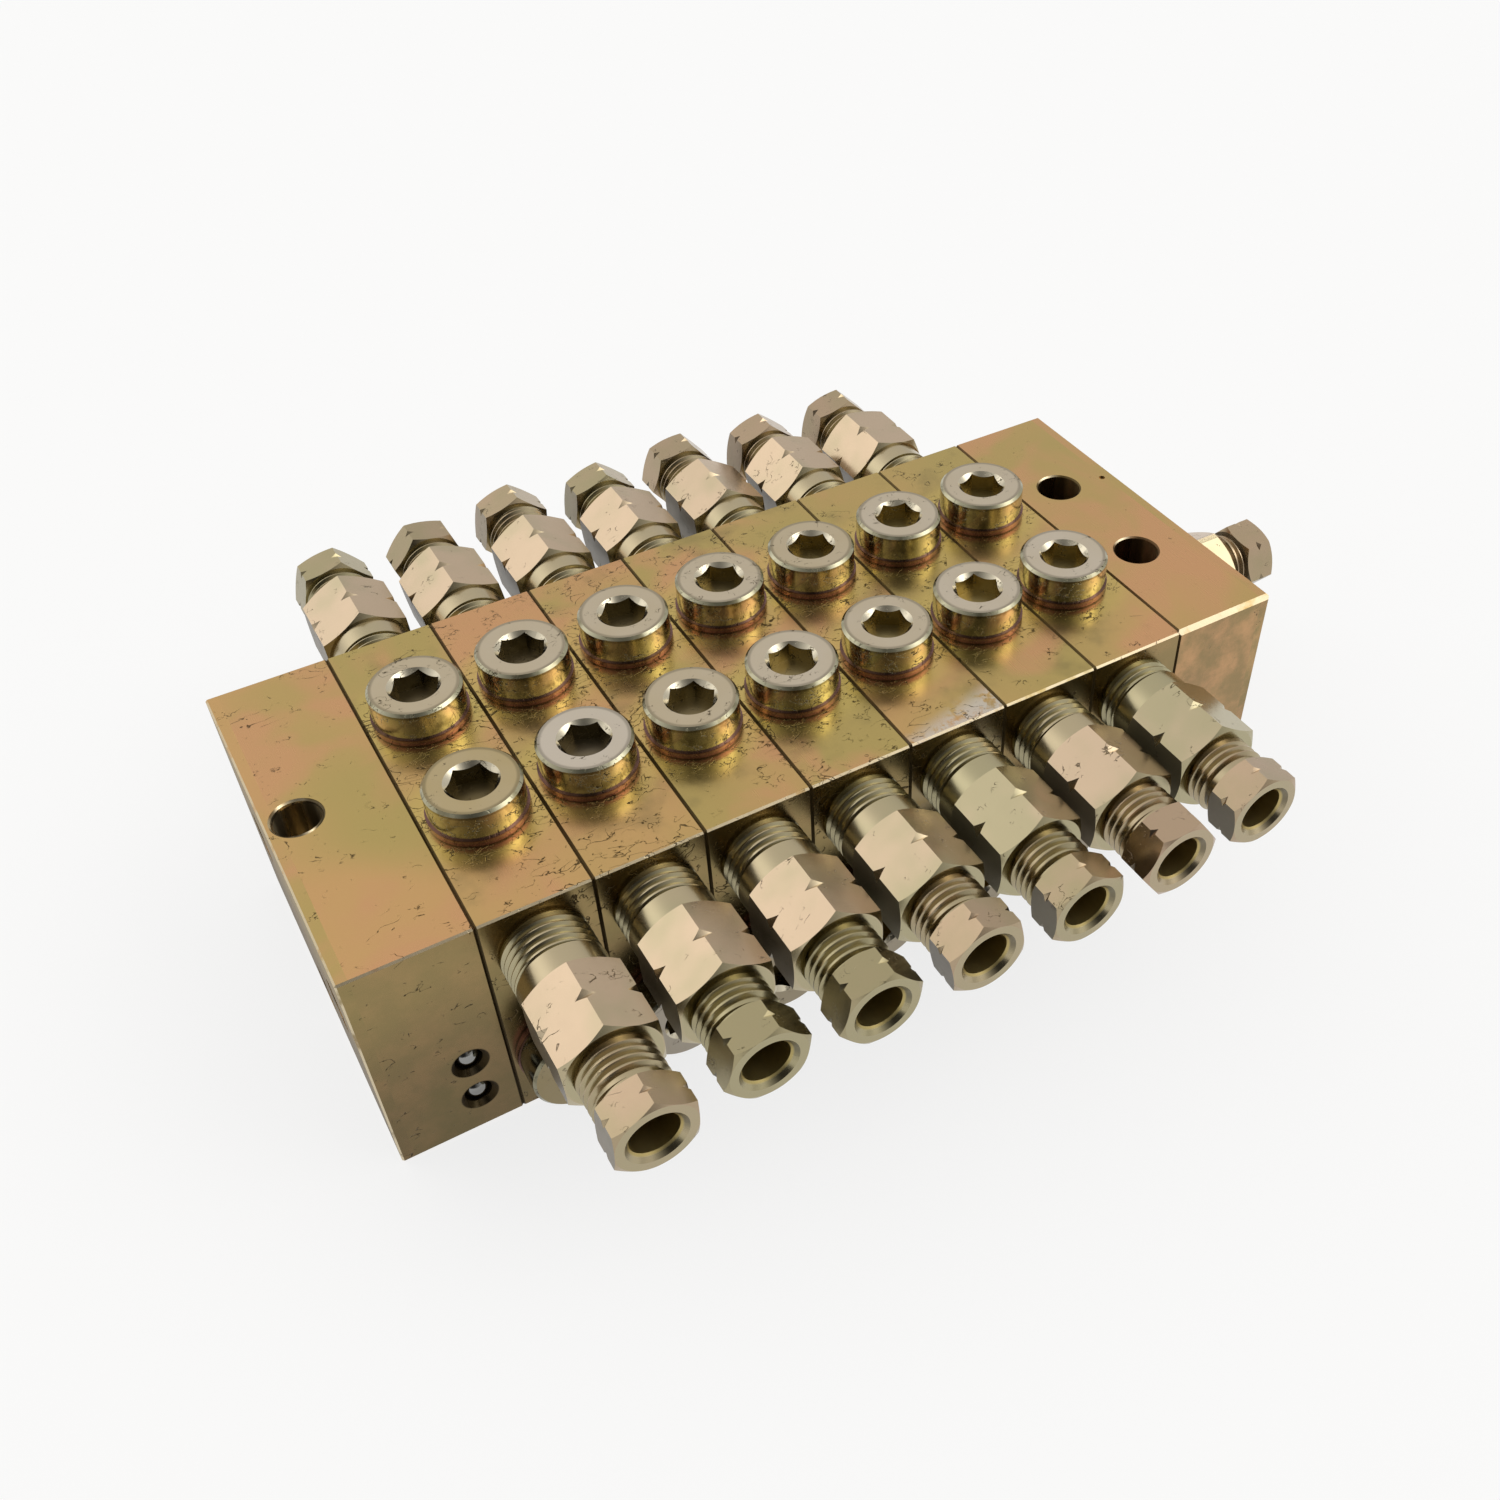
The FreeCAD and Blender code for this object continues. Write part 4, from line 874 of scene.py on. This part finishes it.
class DIVIDER_OT_nuts(Operator):
    """Give the tube nuts their plating and wind their threads"""

    bl_idname = "divider.nuts"
    bl_label = "Tube nuts"

    def execute(self, context):
        sizes = context.scene.divider_sizes
        material = nut_plating(context.scene.divider_colours, sizes)
        winder = ThreadWinder("nut_threads", material, sizes.steps)
        for union, nut, _, way in fittings():
            dress([nut], material)
            mouth = reach(union, way)
            length = reach(nut, way) - sizes.nut_hexagon - sizes.nut_run_out - mouth
            place = turned_to(way, axis_start(nut, way, mouth))
            winder.wind(length, sizes.pitch, sizes.nut_root, sizes.nut_crest - sizes.nut_root, place)
        winder.piece("nut_steel")
        return {"FINISHED"}


class DIVIDER_OT_port(Operator):
    """Wind the thread inside the hole in the end block's top"""

    bl_idname = "divider.port"
    bl_label = "Port thread"

    def execute(self, context):
        sizes = context.scene.divider_sizes
        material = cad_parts["end_block"].material_slots[0].material
        winder = ThreadWinder("port_thread", material, sizes.steps)
        bottom = TOP - sizes.port_depth - sizes.port_lead
        start = Vector((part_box("end_block")[0].x + sizes.port_inset, 0.0, bottom))
        winder.wind(sizes.port_depth, sizes.port_pitch, sizes.port_radius, -sizes.port_ridge,
                    Matrix.Translation(start))
        winder.piece("block_steel")
        return {"FINISHED"}


class DIVIDER_OT_plugs(Operator):
    """Give the screw plugs, their washers and the cutting rings their finish"""

    bl_idname = "divider.plugs"
    bl_label = "Plugs and washers"

    def execute(self, context):
        colours = context.scene.divider_colours
        plated = plug_plating(colours, context.scene.divider_sizes)
        dress(["top_plugs", "bore_plugs", "cutting_rings"], plated)
        dress(["top_plug_washers", "bore_plug_washers"], copper_surface(colours))
        return {"FINISHED"}


class DIVIDER_OT_inner_parts(Operator):
    """Give the pistons, tie rods, balls and seals their finish"""

    bl_idname = "divider.inner_parts"
    bl_label = "Inner parts"

    def execute(self, context):
        colours = context.scene.divider_colours
        pistons = ["piston_%d" % (k + 1) for k in range(SECTION_COUNT)]
        dress(pistons, steel_surface("piston_finish", colours.steel, colours.mark, 0.08))
        dress(["sealing_balls"], steel_surface("ball_finish", colours.ball, colours.mark, 0.06))
        dress(["tie_rods", "tie_rod_nuts"], steel_surface("rod_finish", colours.steel, colours.mark, 0.3))
        dress(["passage_seals"], rubber_surface(colours))
        return {"FINISHED"}


def studio_world(settings):
    """A soft dome with a broad window behind the block, a lamp to the viewer's right and a dim front."""
    world = bpy.data.worlds.new("studio")
    world.use_nodes = True
    graph = Graph(world.node_tree)
    way = graph.add("ShaderNodeTexCoord", None, None, "Generated")
    up = graph.parts(way)[2]

    def glow(direction, narrowness):
        """Light that is strongest in one direction."""
        aim = tuple(Vector(direction).normalized())
        return graph.largest(graph.vector("DOT_PRODUCT", way, aim, "Value"), 0.0) ** narrowness

    level = settings.horizon + graph.between(up, -0.1, 0.9) * (settings.zenith - settings.horizon)
    level = level + glow(WINDOW_WAY, WINDOW_NARROWNESS) * settings.window
    level = level + glow(SIDE_WAY, SIDE_NARROWNESS) * settings.side
    level = level - glow(VIEWER_WAY, VIEWER_NARROWNESS) * settings.viewer
    level = graph.largest(level, DARKEST_SKY)
    background = graph.add("ShaderNodeBackground", None, {"Color": SKY_COLOUR, "Strength": level})
    graph.add("ShaderNodeOutputWorld", None, {"Surface": background})
    return world


def studio_floor(settings):
    """A wide white floor just under the block, whitened where the camera or the metal sees it."""
    mesh = bpy.data.meshes.new("floor")
    signs = ((-1, -1), (1, -1), (1, 1), (-1, 1))
    corners = [(x * FLOOR_HALF, y * FLOOR_HALF, FLOOR_LEVEL) for x, y in signs]
    mesh.from_pydata(corners, [], [(0, 1, 2, 3)])
    material, graph = new_material("floor_paint")
    paint = graph.add("ShaderNodeBsdfDiffuse", None, {"Color": settings.floor_colour})
    glow = graph.add("ShaderNodeEmission", None, {"Color": (1.0, 1.0, 1.0), "Strength": 1.0})
    rays = [graph.add("ShaderNodeLightPath", None, None, kind)
            for kind in ("Is Camera Ray", "Is Glossy Ray", "Is Transmission Ray")]
    seen = graph.largest(*rays)
    lit = graph.add("ShaderNodeMixShader", None, {0: seen * settings.floor_glow, 1: paint, 2: glow})
    graph.add("ShaderNodeOutputMaterial", None, {"Surface": lit})
    mesh.materials.append(material)
    floor = bpy.data.objects.new("floor", mesh)
    bpy.context.scene.collection.objects.link(floor)


def studio_camera(settings):
    """The camera, placed and turned as the block was first seen."""
    data = bpy.data.cameras.new("camera")
    data.lens = settings.lens
    data.sensor_width = 36.0
    data.shift_x, data.shift_y = CAMERA_SHIFT
    data.clip_start = 0.01
    data.clip_end = 20.0
    camera = bpy.data.objects.new("camera", data)
    bpy.context.scene.collection.objects.link(camera)
    back = CAMERA_RIGHT.cross(CAMERA_UP)
    turn = Matrix((CAMERA_RIGHT, CAMERA_UP, back)).transposed().to_4x4()
    camera.matrix_world = Matrix.Translation(CAMERA_PLACE) @ turn
    bpy.context.scene.camera = camera


class DIVIDER_OT_studio(Operator):
    """Build the floor, the light and the camera"""

    bl_idname = "divider.studio"
    bl_label = "Studio"

    def execute(self, context):
        settings = context.scene.divider_studio
        context.scene.world = studio_world(settings)
        context.scene.view_settings.view_transform = "Standard"
        studio_floor(settings)
        studio_camera(settings)
        return {"FINISHED"}


class DIVIDER_PT_panel(Panel):
    """Steps that dress the block"""

    bl_label = "Lubricant divider block"
    bl_idname = "DIVIDER_PT_panel"
    bl_space_type = "VIEW_3D"
    bl_region_type = "UI"
    bl_category = "Divider"

    def draw(self, context):
        for operator in OPERATORS:
            self.layout.operator(operator.bl_idname)


GROUPS = {
    "divider_sizes": FittingSizes,
    "divider_colours": PlateColours,
    "divider_studio": StudioSettings,
}
OPERATORS = (
    DIVIDER_OT_blocks,
    DIVIDER_OT_unions,
    DIVIDER_OT_nuts,
    DIVIDER_OT_port,
    DIVIDER_OT_plugs,
    DIVIDER_OT_inner_parts,
    DIVIDER_OT_studio,
)


def register():
    for cls in (*GROUPS.values(), *OPERATORS, DIVIDER_PT_panel):
        bpy.utils.register_class(cls)
    for name, group in GROUPS.items():
        setattr(bpy.types.Scene, name, PointerProperty(type=group))


def unregister():
    for name in GROUPS:
        delattr(bpy.types.Scene, name)
    for cls in (DIVIDER_PT_panel, *reversed(OPERATORS), *GROUPS.values()):
        bpy.utils.unregister_class(cls)


def main():
    """Dress the block step by step."""
    register()
    for operator in OPERATORS:
        group, name = operator.bl_idname.split(".")
        getattr(getattr(bpy.ops, group), name)()


if __name__ == "__main__":
    main()
